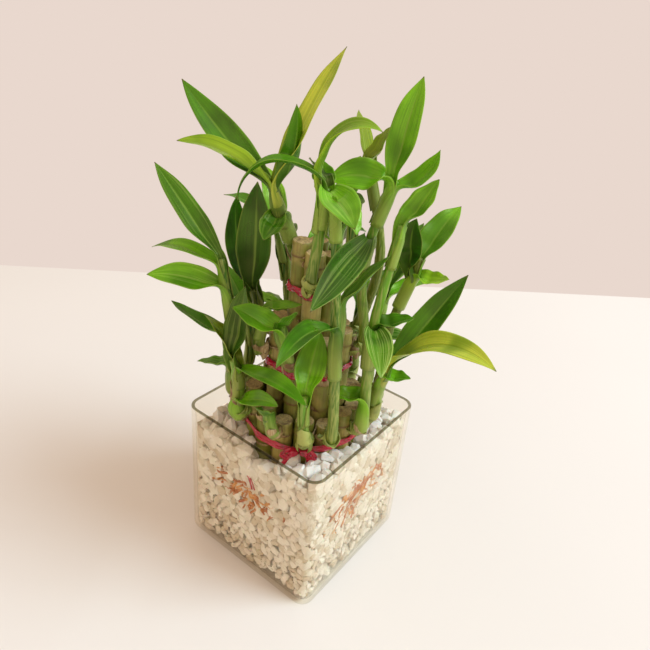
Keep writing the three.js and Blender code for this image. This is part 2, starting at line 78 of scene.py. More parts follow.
# Each shoot: tier, cane, bearing of the side it leaves, height there, tip, bow of its middle,
# and its leaves as (place along the stem, bearing, rise, length, width, droop, roll, tone).
SHOOTS = (
    ("outer", 1, 175, 102, (-42, -6, 146), (2, 0), (
        (1, 165, 45, 42, 13, 30, 0, "mid"),
        (0.8, 140, 25, 38, 12, 40, 0, "mid"),
    )),
    ("outer", 2, -144, 101, (-42, -29.5, 189.5), (6, -2), (
        (1, 180, 39, 68, 14.5, 1, -18, "mid"),
        (0.95, 193, 29, 51, 12, 60, -10, "bright"),
        (0.86, 221, 27, 45, 15.5, 38, -38, "bright"),
        (0.64, 204, 17, 42, 13, -15, 4, "mid"),
        (0.5, 210, 15, 23, 12, 30, 10, "mid"),
    )),
    ("outer", 3, -118, 102, (-23, -38, 138), (1.5, 1), (
        (0.85, -12, 30, 66, 13, 40, 0, "bright"),
        (0.85, 185, 75, 38, 13, 60, 20, "olive"),
        (1, 90, 80, 44, 17, 5, 0, "dark"),
        (0.4, -11, 44, 44, 11, 35, 34, "bright"),
    )),
    ("outer", 5, -80, 103, (8, -43, 117), (0, 0.5), (
        (1, -75, 55, 18, 10, 15, 0, "mid"),
    )),
    ("outer", 6, -50, 101, (24, -32, 134), (-0.5, -0.5), (
        (1, 115, 60, 37, 17, 30, 5, "bright"),
    )),
    ("outer", 7, -35, 102, (17, -12.5, 237.5), (1.5, 0), (
        (1, -15, 0, 24, 14, 70, -15, "bright"),
        (0.64, -78, 45, 68.5, 14, 72, 1, "mid"),
    )),
    ("outer", 8, 8, 102, (44, 7.5, 224.5), (-3, -3), (
        (1, 62, 56, 30.5, 14, 5, 16, "bright"),
        (0.68, 30, 35, 24, 13, 20, 5, "mid"),
        (0.68, -50, 25, 46, 14.5, 60, 0, "striped"),
        (0.45, -148, 33, 23, 14.5, 53, -1, "bright"),
    )),
    ("outer", 9, 20, 101, (47.5, 10, 141.5), (-2, 0), (
        (1, 65, 52, 69, 16.5, 5, 27, "mid"),
        (1, -11, 66, 80, 16.5, 83, 24, "yellow"),
        (0.86, 10, 35, 18, 12, 30, 5, "bright"),
    )),
    ("outer", 10, 39, 103, (45, 32, 201), (-3.5, -3.5), (
        (0.94, 62, 118, 31.5, 15.5, 50, 37, "dark"),
        (0.96, 82, 59, 44, 16, 38, 12, "bright"),
        (0.92, -1, 9, 23, 12.5, -16, 16, "lime"),
        (0.4, 30, 75, 42, 14, 0, 0, "olive"),
    )),
    ("outer", 11, 62, 102, (21, 42, 168), (0, -2.5), (
        (1, 95, 55, 54, 14, 30, 0, "mid"),
        (0.95, 60, 35, 42, 13, 40, 0, "bright"),
        (0.7, 30, 15, 30, 13, 30, 0, "mid"),
    )),
    ("outer", 12, 84, 101, (3, 46, 150), (0, -2), (
        (1, 80, 45, 60, 15, 60, 0, "mid"),
        (0.95, 130, 40, 50, 14, 45, 0, "bright"),
        (0.7, 70, 10, 40, 13, 30, 0, "mid"),
    )),
    ("outer", 14, 129, 103, (-29, 38, 164), (2, -1.5), (
        (1, 125, 60, 40, 15, 25, 0, "bright"),
        (0.96, 85, 35, 46, 13, 40, 0, "mid"),
        (0.7, 120, 15, 46, 14, 40, 0, "mid"),
    )),
    ("outer", 15, 152, 101, (-41, 21, 144), (2, -1), (
        (1, 165, 0, 46, 14, 40, 0, "mid"),
        (0.95, 200, 25, 42, 13, 45, 0, "bright"),
        (0.7, 150, -10, 40, 13, 30, 0, "mid"),
    )),
    ("middle", 1, -175, 143, (-33.5, -13, 168.5), (1, -0.5), (
        (0.85, 180, 52, 60, 17, -48, -23, "dark"),
        (1, 110, 88, 62, 20, 5, 10, "dark"),
    )),
    ("middle", 2, -117, 142, (-13, -27, 168), (0, 0), (
        (1, 31, 26, 24, 10.5, 15, 0, "bright"),
    )),
    ("middle", 3, -72, 142, (4, -30, 163), (0, 0), (
        (0.9, -146, 41, 32, 15.5, 31, -25, "bright"),
        (1, -10, 65, 22, 11, 20, 0, "mid"),
    )),
    ("middle", 4, -27, 143, (27, -11, 180), (0, 0), (
        (1, 40, 60, 38, 12, 10, 0, "mid"),
    )),
    ("middle", 5, 40, 143, (27.5, 22, 240), (-7, -3.5), (
        (1, 94, 82, 53, 15.5, 24, 4, "bright"),
        (1, 214, 22, 34.5, 17, 54, -59, "bright"),
        (0.79, -74.5, -3.5, 81, 15.5, 6, -36, "dark"),
        (0.96, 44, 14, 34, 12.5, -67, 25, "bright"),
    )),
    ("middle", 6, 75, 142, (8, 28, 242), (12, 0), (
        (1, 140, 40, 42, 13, 10, 35, "olive"),
        (1, 58, 72, 24, 13, 10, 0, "olive"),
    )),
    ("middle", 7, 108, 143, (-9, 31, 212), (0, -1), (
        (1, 110, 55, 44, 14, 40, 0, "mid"),
        (0.97, 160, 40, 34, 14, 50, 0, "bright"),
        (0.9, 70, 10, 22, 13, 50, 0, "mid"),
        (0.75, 125, 20, 46, 14, 40, 0, "dark"),
    )),
    ("middle", 8, 153, 142, (-36, 9, 200), (1.5, 0), (
        (1, 150, 60, 42, 14, 35, 0, "bright"),
        (0.97, 190, 45, 44, 14, 60, 0, "mid"),
        (0.85, 120, 35, 30, 13, 50, 0, "mid"),
    )),
    ("inner", 2, -60, 185, (10.5, -11.5, 238), (0.5, 0), (
        (1, 216, 54, 60, 10, 150, 0, "mid"),
        (1, 17, 111, 52.5, 12.5, 139, 23, "lime"),
        (1, 160, 55, 22, 10, 55, 35, "dark"),
        (1, -34, 9, 44, 17, 31, 18, "bright"),
        (0.95, 139, 47, 20, 12, 13, -11, "bright"),
    )),
    ("inner", 3, 33, 184, (14, 9, 222), (-0.5, 0), (
        (1, 125, 30, 20, 11, 20, 0, "mid"),
    )),
    ("inner", 4, -160, 184, (-16, -19, 231.5), (-1, 0), (
        (0.97, 185.5, 32, 76, 16.5, -10, -35, "mid"),
        (1, 207, 47, 57, 12, 60, 57, "lime"),
        (0.98, 51, 70.5, 75, 14.5, 12, 22, "yellow"),
        (0.95, 18, 62, 46.5, 12, -36, -33, "mid"),
        (0.78, -69, 1, 25, 13, 34, -8, "mid"),
    )),
)

# Leaf colours, as sRGB 0-255. mid, olive, lime, yellow and striped are the leaves' own colours;
# bright is a painted lit copy of the green and dark a painted shaded copy, for leaves in light and in shade.
TONES = {
    "mid": (58, 112, 5),
    "bright": (100, 158, 18),
    "dark": (36, 78, 3),
    "olive": (104, 124, 12),
    "lime": (138, 176, 30),
    "yellow": (176, 190, 58),
    "striped": (84, 132, 22),
}

# Degrees, and millimetres for the rest.
CAMERA = {"azimuth": 35.292, "elevation": 29.139, "roll": 5.689, "distance": 333.8, "side": 7.878,
          "height": 155.539, "lens": 32.777}
FLOOR_EDGE = ((-517.7, 58.6), (103.0, 614.6))  # where the pale table ends behind the plant


# ---- Settings ----------------------------------------------------------------------------

def length_setting(label, text, default, low=0.0, high=0.5):
    return bpy.props.FloatProperty(
        name=label, description=text, default=default, min=low, max=high,
        subtype="DISTANCE", unit="LENGTH",
    )


def colour_setting(label, text, rgb):
    return bpy.props.FloatVectorProperty(
        name=label, description=text, default=[linear(c / 255) for c in rgb], min=0.0, max=1.0,
        size=3, subtype="COLOR",
    )


def linear(c):
    """The linear value of one sRGB channel."""
    return c / 12.92 if c <= 0.04045 else ((c + 0.055) / 1.055) ** 2.4


class BambooVaseSettings(bpy.types.PropertyGroup):
    width: length_setting("Width", "Outer width of the square vase", 0.1)
    height: length_setting("Height", "Height of the vase", 0.0998)
    wall: length_setting("Wall", "Thickness of the glass", 0.002)
    base: length_setting("Base", "Thickness of the glass underneath", 0.0032)
    corner: length_setting("Corner", "Radius of the vertical corners", 0.008)
    foot: length_setting("Foot", "Radius of the edge round the underside", 0.004)
    tint: colour_setting("Tint", "Colour that the glass gives to what is seen through it", (253, 251, 246))


class BambooStoneSettings(bpy.types.PropertyGroup):
    side_count: bpy.props.IntProperty(
        name="Side chips", description="Chips in the layer behind the glass", default=2700, min=10,
        max=4000)
    top_count: bpy.props.IntProperty(
        name="Top chips", description="Larger chips on top of the bed", default=230, min=10, max=1000)
    side_size: length_setting("Side size", "Mean length of a chip behind the glass", 0.0078)
    top_size: length_setting("Top size", "Mean length of a chip on top", 0.0125)
    colour: colour_setting("Colour", "Colour of the clean broken stone", (244, 238, 228))
    dusk: colour_setting("Stained colour", "Colour of the duller chips", (204, 187, 158))


class BambooCaneSettings(bpy.types.PropertyGroup):
    radius: length_setting("Radius", "Radius of a cane", 0.0054)
    green: colour_setting("Green bark", "Colour of the living bark", (122, 128, 40))
    straw: colour_setting("Straw bark", "Colour of the ripe bark", (176, 160, 84))
    scar: colour_setting("Scars", "Colour of the ring scars", (108, 72, 32))
    cut: colour_setting("Cut wood", "Colour of the sawn top", (206, 178, 116))


class BambooShootSettings(bpy.types.PropertyGroup):
    neck: length_setting("Neck", "Radius of a shoot where it leaves its cane", 0.0022)
    base: length_setting("Base", "Radius of a shoot above its first bend", 0.0037)
    tip: length_setting("Tip", "Radius of a shoot at its tip", 0.0022)
    thickness: length_setting("Leaf thickness", "Thickness of a leaf at its midrib", 0.0006)
    stem: colour_setting("Stem", "Colour of the sheathed stem", (98, 118, 24))
    pale: colour_setting("Pale base", "Colour of the sheaths and of a leaf's foot", (168, 174, 88))
    dry: colour_setting("Dry", "Colour of dried sheaths and leaf tips", (128, 88, 40))


class BambooRibbonSettings(bpy.types.PropertyGroup):
    width: length_setting("Width", "Width of the gathered ribbon", 0.0042)
    thickness: length_setting("Thickness", "Thickness of the gathered ribbon", 0.0007)
    colour: colour_setting("Colour", "Colour of the satin", (182, 2, 46))


class BambooRootSettings(bpy.types.PropertyGroup):
    radius: length_setting("Radius", "Radius of a root", 0.0015)
    count: bpy.props.IntProperty(
        name="Roots a strand", description="Roots in each strand", default=18, min=1, max=60)
    colour: colour_setting("Colour", "Colour of the living roots", (178, 92, 26))
    pale: colour_setting("Pale colour", "Colour of the young roots", (226, 164, 88))


class BambooStageSettings(bpy.types.PropertyGroup):
    floor: colour_setting("Floor", "Colour of the table", (237, 229, 220))
    wall: colour_setting("Wall", "Colour of the air behind the table", (233, 216, 206))
    key: bpy.props.FloatProperty(
        name="Key light", description="Power of the large light", default=81.0, min=0.0, unit="POWER")
    air: bpy.props.FloatProperty(
        name="Air", description="Strength of the light from all round", default=0.75, min=0.0)


# ---- Mesh helpers ------------------------------------------------------------------------

def unit(vectors):
    """Each vector divided by its own length."""
    return vectors / np.maximum(np.linalg.norm(vectors, axis=-1, keepdims=True), 1e-12)


def bearing(degrees):
    """The level direction at this many degrees from +X towards +Y."""
    turn = np.radians(degrees)
    return np.stack([np.cos(turn), np.sin(turn), np.zeros_like(turn)], axis=-1)


def smooth(x, low, high):
    """0 below low and 1 above high, by the cubic 3t^2 - 2t^3 between them."""
    t = np.clip((np.asarray(x, float) - low) / (high - low), 0, 1)
    return t * t * (3 - 2 * t)


def grid_quads(rows, columns, wrap=False):
    """The quads of a grid of points numbered row by row. With wrap, the last column meets the first."""
    r, c = np.meshgrid(np.arange(rows - 1), np.arange(columns if wrap else columns - 1), indexing="ij")
    here, there = r * columns + c, r * columns + (c + 1) % columns
    return np.stack([here, there, there + columns, here + columns], axis=-1).reshape(-1, 4)


def stacked(plan, levels):
    """The plans, shape (levels, around, 2), each set at its own height."""
    return np.concatenate([plan, np.broadcast_to(levels[:, None, None], (*plan.shape[:2], 1))], axis=-1)


def resampled(line, way, at):
    """The points of a line, known at the places way, read axis by axis at the places at."""
    return np.stack([np.interp(at, way, line[:, k]) for k in range(3)], axis=-1)


def closed_tube(rings):
    """A skin over rings of points, shape (rings, around, 3), closed by a fan to each end's centre."""
    count, around = rings.shape[:2]
    points = np.concatenate([rings.reshape(-1, 3), rings[:1].mean(axis=1), rings[-1:].mean(axis=1)])
    step = np.arange(around)
    after = (step + 1) % around
    first, last, end = count * around, count * around + 1, (count - 1) * around
    fans = np.concatenate([
        np.stack([after, step, np.full(around, first)], axis=-1),
        np.stack([end + step, end + after, np.full(around, last)], axis=-1),
    ])
    return points, [grid_quads(count, around, wrap=True), fans]


def slab(sheet, thickness):
    """A closed plate over a grid sheet, shape (rows, columns, 3).

    Its two faces stand half the thickness off the sheet along the normal, which is the cross
    product of the sheet's slopes along its two parameters, and a strip closes the border.
    """
    rows, columns = sheet.shape[:2]
    normal = unit(np.cross(np.gradient(sheet, axis=0), np.gradient(sheet, axis=1)))
    half = np.broadcast_to(thickness, (rows, columns))[..., None] / 2
    points = np.concatenate([(sheet + normal * half).reshape(-1, 3), (sheet - normal * half).reshape(-1, 3)])
    index = np.arange(rows * columns).reshape(rows, columns)
    border = np.concatenate([index[0, :-1], index[:-1, -1], index[-1, :0:-1], index[:0:-1, 0]])
    beyond = np.roll(border, -1)
    far = rows * columns
    top = grid_quads(rows, columns)
    strip = np.stack([beyond, border, border + far, beyond + far], axis=-1)
    return points, [top, top[:, ::-1] + far, strip]


def outward(points, faces):
    """The faces turned so that the volume they enclose, summed over their triangles, is positive."""
    volume = 0.0
    for group in faces:
        a = points[group[:, 0]]
        for k in range(1, group.shape[1] - 1):
            volume += np.einsum("ij,ij->", a, np.cross(points[group[:, k]], points[group[:, k + 1]]))
    return faces if volume > 0 else [group[:, ::-1] for group in faces]


def make_piece(name, parts, materials, smooth_shading=True):
    """One mesh object of several closed parts.

    A part is (points in millimetres, groups of faces, material index or one for each group,
    point attributes).
    """
    offset, points, loops, totals, slots = 0, [], [], [], []
    fields = {key: [] for key in parts[0][3]}
    for part_points, faces, material, attributes in parts:
        for group, index in zip(outward(part_points, faces), np.broadcast_to(material, len(faces))):
            loops.append((group + offset).ravel())
            totals.append(np.full(len(group), group.shape[1]))
            slots.append(np.full(len(group), index))
        points.append(part_points)
        offset += len(part_points)
        for key, values in attributes.items():
            fields[key].append(values)
    points, loops = np.concatenate(points) * MM, np.concatenate(loops)
    totals, slots = np.concatenate(totals), np.concatenate(slots)
    mesh = bpy.data.meshes.new(name)
    mesh.vertices.add(len(points))
    mesh.vertices.foreach_set("co", points.ravel().astype(np.float32))
    mesh.loops.add(len(loops))
    mesh.loops.foreach_set("vertex_index", loops.astype(np.int32))
    mesh.polygons.add(len(totals))
    mesh.polygons.foreach_set("loop_start", (np.cumsum(totals) - totals).astype(np.int32))
    mesh.polygons.foreach_set("material_index", slots.astype(np.int32))
    mesh.polygons.foreach_set("use_smooth", np.full(len(totals), smooth_shading))
    for key, values in fields.items():
        values = np.concatenate(values).astype(np.float32)
        kind = "FLOAT_COLOR" if values.ndim == 2 else "FLOAT"
        attribute = mesh.attributes.new(key, kind, "POINT")
        attribute.data.foreach_set("color" if values.ndim == 2 else "value", values.ravel())
    mesh.update(calc_edges=True)
    mesh.validate()
    for material in materials:
        mesh.materials.append(material)
    piece = bpy.data.objects.new(name, mesh)
    bpy.context.scene.collection.objects.link(piece)
    return piece


def settle(piece, slot, *nodes):
    """The piece moves with the part and stands for these solids. slot is not used."""
    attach(piece, "root")
    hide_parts(*nodes)


def stand(name, data, axes, place):
    """An object of this lamp or camera at a place in metres, its axes across, up and backwards."""
    holder = bpy.data.objects.new(name, data)
    rows = np.vstack([np.column_stack([*axes, place]), [0, 0, 0, 1]])
    holder.matrix_world = Matrix(rows.tolist())
    bpy.context.scene.collection.objects.link(holder)
    return holder


def carried(path, radii, around, start=(0.0, 0.0, 1.0), shape=None):
    """Rings of points about a path, shape (steps, around, 3).

    The ring at a step lies across the path: side is the cross product of start and the path's
    slope, up completes the triad, and a point is path + radius * (side cos a + up sin a).
    shape multiplies the radii point by point.
    """
    slope = unit(np.gradient(path, axis=0))
    side = unit(np.cross(np.broadcast_to(start, slope.shape), slope))
    up = np.cross(slope, side)
    turn = np.linspace(0, 2 * np.pi, around, endpoint=False)
    size = np.broadcast_to(np.asarray(radii, float)[:, None], (len(path), around))
    if shape is not None:
        size = size * shape
    ring = side[:, None] * np.cos(turn)[:, None] + up[:, None] * np.sin(turn)[:, None]
    return path[:, None] + ring * size[..., None]


# ---- Material helpers --------------------------------------------------------------------

class Finish:
    """A material under way: its nodes, added and joined by name."""

    def __init__(self, name):
        self.material = bpy.data.materials.new(name)
        self.material.use_nodes = True
        self.tree = self.material.node_tree
        self.shader = self.tree.nodes["Principled BSDF"]
        self.output = self.tree.nodes["Material Output"]

    def node(self, kind, values=(), **settings):
        """A node of this kind, with its settings and the values of its inputs."""
        made = self.tree.nodes.new(kind)
        for key, value in settings.items():
            setattr(made, key, value)
        for key, value in dict(values).items():
            if hasattr(value, "links"):
                self.tree.links.new(value, made.inputs[key])
            else:
                made.inputs[key].default_value = value
        return made

    def attribute(self, name, output="Fac"):
        return self.node("ShaderNodeAttribute", attribute_name=name).outputs[output]

    def noise(self, vector, scale, detail=3.0, roughness=0.5):
        values = {"Vector": vector, "Scale": scale, "Detail": detail, "Roughness": roughness}
        return self.node("ShaderNodeTexNoise", values).outputs["Fac"]

    def stretched(self, vector, scale):
        """The vector multiplied axis by axis."""
        values = {0: vector, 1: scale}
        return self.node("ShaderNodeVectorMath", values, operation="MULTIPLY").outputs["Vector"]

    def combined(self, x=0.0, y=0.0, z=0.0):
        return self.node("ShaderNodeCombineXYZ", {"X": x, "Y": y, "Z": z}).outputs["Vector"]

    def between(self, value, low, high, to_low=0.0, to_high=1.0):
        values = {"Value": value, "From Min": low, "From Max": high, "To Min": to_low, "To Max": to_high}
        made = self.node("ShaderNodeMapRange", values, interpolation_type="SMOOTHSTEP")
        return made.outputs["Result"]

    def math(self, operation, a, b=0.0):
        return self.node("ShaderNodeMath", {0: a, 1: b}, operation=operation).outputs["Value"]

    def mix(self, share, a, b, blend="MIX"):
        made = self.node("ShaderNodeMix", data_type="RGBA", blend_type=blend)
        for socket, value in ((made.inputs[0], share), (made.inputs[6], a), (made.inputs[7], b)):
            if hasattr(value, "links"):
                self.tree.links.new(value, socket)
            elif socket.type == "RGBA":
                socket.default_value = (*value[:3], 1.0)
            else:
                socket.default_value = value
        return made.outputs[2]

    def colour(self, value):
        self.tree.links.new(value, self.shader.inputs["Base Color"])

    def roughness(self, value):
        self.tree.links.new(value, self.shader.inputs["Roughness"])

    def bump(self, height, strength, distance):
        made = self.node("ShaderNodeBump", {"Height": height, "Strength": strength, "Distance": distance})
        self.tree.links.new(made.outputs["Normal"], self.shader.inputs["Normal"])

    def set(self, **values):
        """Sets the shader's own sockets."""
        for key, value in values.items():
            self.shader.inputs[key.replace("_", " ")].default_value = value

    def place(self):
        return self.node("ShaderNodeTexCoord").outputs["Object"]


# ---- The vase ----------------------------------------------------------------------------

def rounded_square(half, corner):
    """Points round squares with round corners, shape (levels, around, 2).

    A point is the corner's centre, half - corner along both axes, plus the corner's radius times
    the direction of its arc. On the straight sides the centre slides from one corner to the next.
    """
    arcs, slides = np.linspace(0, 90, 9), np.array([0.04, 0.28, 0.5, 0.72, 0.96])
    across, along, cosine, sine = [], [], [], []
    for quarter in range(4):
        turn = np.radians(90 * quarter)
        sign = np.array([[1, 1], [-1, 1]]) @ np.array([[np.cos(turn), np.sin(turn)],
                                                       [-np.sin(turn), np.cos(turn)]])
        centres = np.concatenate([np.tile(sign[0], (9, 1)), sign[0] + slides[:, None] * (sign[1] - sign[0])])
        angles = np.concatenate([np.radians(90 * quarter + arcs), np.full(5, np.radians(90 * quarter + 90))])
        across.append(centres[:, 0])
        along.append(centres[:, 1])
        cosine.append(np.cos(angles))
        sine.append(np.sin(angles))
    centre = np.stack([np.concatenate(across), np.concatenate(along)], axis=-1)
    arc = np.stack([np.concatenate(cosine), np.concatenate(sine)], axis=-1)
    half, corner = np.asarray(half, float)[:, None, None], np.asarray(corner, float)[:, None, None]
    return (half - corner) * centre + corner * arc


def glass_finish(settings):
    """Clear glass: a thin tinted film that is seen straight through, and solid glass over it where
    it turns from the eye. A fine line under the rim's top is painted dark olive: painted shade for
    the darkening that the thick rim shows by its internal bounces."""
    finish = Finish("clear_glass")
    finish.set(Transmission_Weight=1.0, Roughness=0.0, IOR=1.45, Base_Color=(1.0, 1.0, 1.0, 1.0))
    z = finish.node("ShaderNodeSeparateXYZ", {0: finish.place()}).outputs["Z"]
    # Painted shade: a dark olive band under the rim's top, for the rim's darkening by internal bounces.
    line = finish.between(z, settings.height - 0.0009, settings.height - 0.0005)
    tint = finish.mix(line, tuple(settings.tint), (0.3, 0.29, 0.2))
    film = finish.node("ShaderNodeBsdfTransparent", {"Color": tint})
    away = finish.node("ShaderNodeLayerWeight", {"Blend": 0.5}).outputs["Facing"]
    shine = finish.math("MULTIPLY", finish.math("POWER", away, 4.0), 0.6)
    shadow = finish.node("ShaderNodeLightPath").outputs["Is Shadow Ray"]
    solid = finish.math("MULTIPLY", finish.math("ADD", shine, 0.03),
                        finish.math("SUBTRACT", 1.0, shadow))
    both = finish.node("ShaderNodeMixShader", {0: solid, 1: film.outputs["BSDF"],
                                               2: finish.shader.outputs["BSDF"]})
    finish.tree.links.new(both.outputs["Shader"], finish.output.inputs["Surface"])
    return finish.material


class BAMBOO_OT_vase(bpy.types.Operator):
    """Make the square glass vase, one skin up its outside, over its rim and down to its base"""

    bl_idname = "bamboo.vase"
    bl_label = "Vase"

    def execute(self, context):
        s = context.scene.bamboo_vase
        half, height, wall, base = s.width / 2 / MM, s.height / MM, s.wall / MM, s.base / MM
        corner, foot = s.corner / MM, s.foot / MM
        edge = np.radians(np.linspace(0, 90, 7))
        rim = np.radians(np.linspace(0, 180, 9))
        inside = np.radians(np.linspace(0, 90, 5))
        inner, round_in = half - wall, 2.2
        rise = height - wall / 2 - foot
        straight = np.array([0.3, 4.5, rise / 2, rise - 2, rise - 0.3])
        halves = np.concatenate([
            half - foot - np.array([40, 20, 2, 0.3]), half - foot * (1 - np.sin(edge)), np.full(5, half),
            half - wall / 2 * (1 - np.cos(rim)), np.full(5, inner),
            inner - round_in * (1 - np.cos(inside)), inner - round_in - np.array([0.3, 2, 20, 40]),
        ])
        levels = np.concatenate([
            np.zeros(4), foot * (1 - np.cos(edge)), foot + straight,
            height - wall / 2 * (1 - np.sin(rim)), (foot + straight)[::-1],
            base + round_in * (1 - np.sin(inside)), np.full(4, base),
        ])
        corners = np.minimum(corner - 0.8 * (half - halves), halves)
        corners = np.maximum(corners, 0.3)
        plan = rounded_square(halves, corners)
        points, faces = closed_tube(stacked(plan, levels))
        piece = make_piece("glass_vase", [(points, faces, 0, {})], [glass_finish(s)])
        settle(piece, "glass", "vase")
        return {"FINISHED"}


# ---- The stones --------------------------------------------------------------------------

GLASS_INSIDE = 48.0  # half of the room inside the vase
BUNDLE = 36.6  # radius of the tied canes
BED_FLOOR = 3.0  # height of the lowest chips


def bed_top(x, y):
    """Height of the bed at a place: highest at the corner towards +X -Y, lower at the far ones,
    with a bell-shaped dip behind the middle of the -Y glass, where the canes' feet show."""
    near = (x - y) / (2 * GLASS_INSIDE)
    dip = 11.0 * np.exp(-((x - 4.0) ** 2 + (y + 38.0) ** 2) / 120.0)
    return 85.0 + 5.0 * near + 2.0 * np.sin(x / 9.0) * np.cos(y / 11.0) - dip


def turned(random, count):
    """Random rotation matrices, shape (count, 3, 3), from unit quaternions."""
    w, x, y, z = unit(random.normal(size=(count, 4))).T
    return np.stack([
        np.stack([1 - 2 * (y * y + z * z), 2 * (x * y - z * w), 2 * (x * z + y * w)], axis=-1),
        np.stack([2 * (x * y + z * w), 1 - 2 * (x * x + z * z), 2 * (y * z - x * w)], axis=-1),
        np.stack([2 * (x * z - y * w), 2 * (y * z + x * w), 1 - 2 * (x * x + y * y)], axis=-1),
    ], axis=1)


def chip_points(random, centres, lengths):
    """The points of broken stones, shape (chips, around * levels + 2, 3), and one stone's faces.

    Each stone is the room inside some random planes: along a direction of the grid its radius is
    the least of the planes' distances divided by the cosine to their normals. It is then made
    longer than it is wide and thick, and turned at random.
    """
    around, levels, planes = 6, 4, 9
    theta = np.radians(np.linspace(0, 180, levels + 2))[1:-1]
    phi = np.linspace(0, 2 * np.pi, around, endpoint=False)
    theta, phi = np.meshgrid(theta, phi, indexing="ij")
    directions = np.stack([np.sin(theta) * np.cos(phi), np.sin(theta) * np.sin(phi), np.cos(theta)], axis=-1)
    directions = np.concatenate([directions.reshape(-1, 3), [[0, 0, 1.0], [0, 0, -1.0]]])
    count = len(centres)
    normals = unit(random.normal(size=(count, planes, 3)))
    distances = random.uniform(0.55, 0.95, (count, planes))
    facing = np.einsum("cpk,dk->cdp", normals, directions)
    radius = np.where(facing > 0.05, distances[:, None] / np.maximum(facing, 0.05), 1.2).min(axis=2)
    radius = np.minimum(radius, 1.15)
    shape = directions[None] * radius[..., None]
    stretch = np.stack([np.full(count, 0.5), random.uniform(0.34, 0.46, count),
                        random.uniform(0.24, 0.36, count)], axis=-1)
    shape = shape * stretch[:, None] * lengths[:, None, None]
    shape = np.einsum("cij,cdj->cdi", turned(random, count), shape)
    step = np.arange(around)
    after = (step + 1) % around
    top, last = around * levels, around * (levels - 1)
    fans = np.concatenate([np.stack([np.full(around, top), step, after], axis=-1),
                           np.stack([np.full(around, top + 1), last + after, last + step], axis=-1)])
    return shape + centres[:, None], [grid_quads(levels, around, wrap=True), fans]


def spread_out(centres, sizes, keep_in, rounds=24):
    """Pushes stones apart: each round, two that are nearer than their mean size both give way by
    half of what is missing, and keep_in then brings every one back into its room."""
    for _ in range(rounds):
        apart = centres[:, None] - centres[None]
        gap = np.linalg.norm(apart, axis=-1) + np.eye(len(centres)) * 1e6
        wanted = 0.62 * (sizes[:, None] + sizes[None]) / 2
        push = np.maximum(wanted - gap, 0) / gap
        centres = keep_in(centres + 0.5 * (apart * push[..., None]).sum(axis=1))
    return centres


def stone_parts(random, centres, lengths, tones):
    """All the stones as one part, pressed flat where they meet the glass."""
    points, (quads, fans) = chip_points(random, centres, lengths)
    each = points.shape[1]
    flat = points.reshape(-1, 3)
    room, corner = GLASS_INSIDE - 0.9, 5.5
    flat[:, :2] = np.clip(flat[:, :2], -room, room)
    beyond = np.abs(flat[:, :2]) - (room - corner)
    out = (beyond > 0).all(axis=1)
    reach = np.linalg.norm(beyond[out], axis=1, keepdims=True)
    pulled = beyond[out] * np.minimum(1, corner / reach)
    flat[out, :2] = np.sign(flat[out, :2]) * (room - corner + pulled)
    flat[:, 2] = np.maximum(flat[:, 2], BED_FLOOR)
    offsets = np.arange(len(centres))[:, None, None] * each
    faces = [(group[None] + offsets).reshape(-1, group.shape[1]) for group in (quads, fans)]
    return flat, faces, 0, {"stone_tone": np.repeat(tones, each)}


def stone_finish(settings, name, dim=1.0):
    """Broken white stone: clean and stained chips, mottled, with a fine rough break. dim darkens both
    colours, as painted shade for the core that shows between the chips.
    """
    finish = Finish(name)
    place = finish.place()
    # dim is painted shade: below 1 it darkens the stone for the core between the chips.
    clean = finish.mix(finish.between(finish.attribute("stone_tone"), 0.25, 0.95),
                       [c * dim for c in settings.dusk], [c * dim for c in settings.colour])
    cloud = finish.between(finish.noise(place, 160.0, 4.0), 0.38, 0.7)
    yellow = finish.mix(finish.math("MULTIPLY", cloud, 0.22), clean, (0.6, 0.5, 0.36))
    grit = finish.noise(place, 900.0, 3.0)
    finish.colour(finish.mix(finish.between(grit, 0.3, 0.75, 0.0, 0.22), yellow, (0.95, 0.93, 0.9)))
    finish.roughness(finish.between(cloud, 0, 1, 0.42, 0.7))
    finish.bump(grit, 0.25, 0.0004)
    finish.set(Subsurface_Weight=0.12, Subsurface_Scale=0.002)
    return finish.material


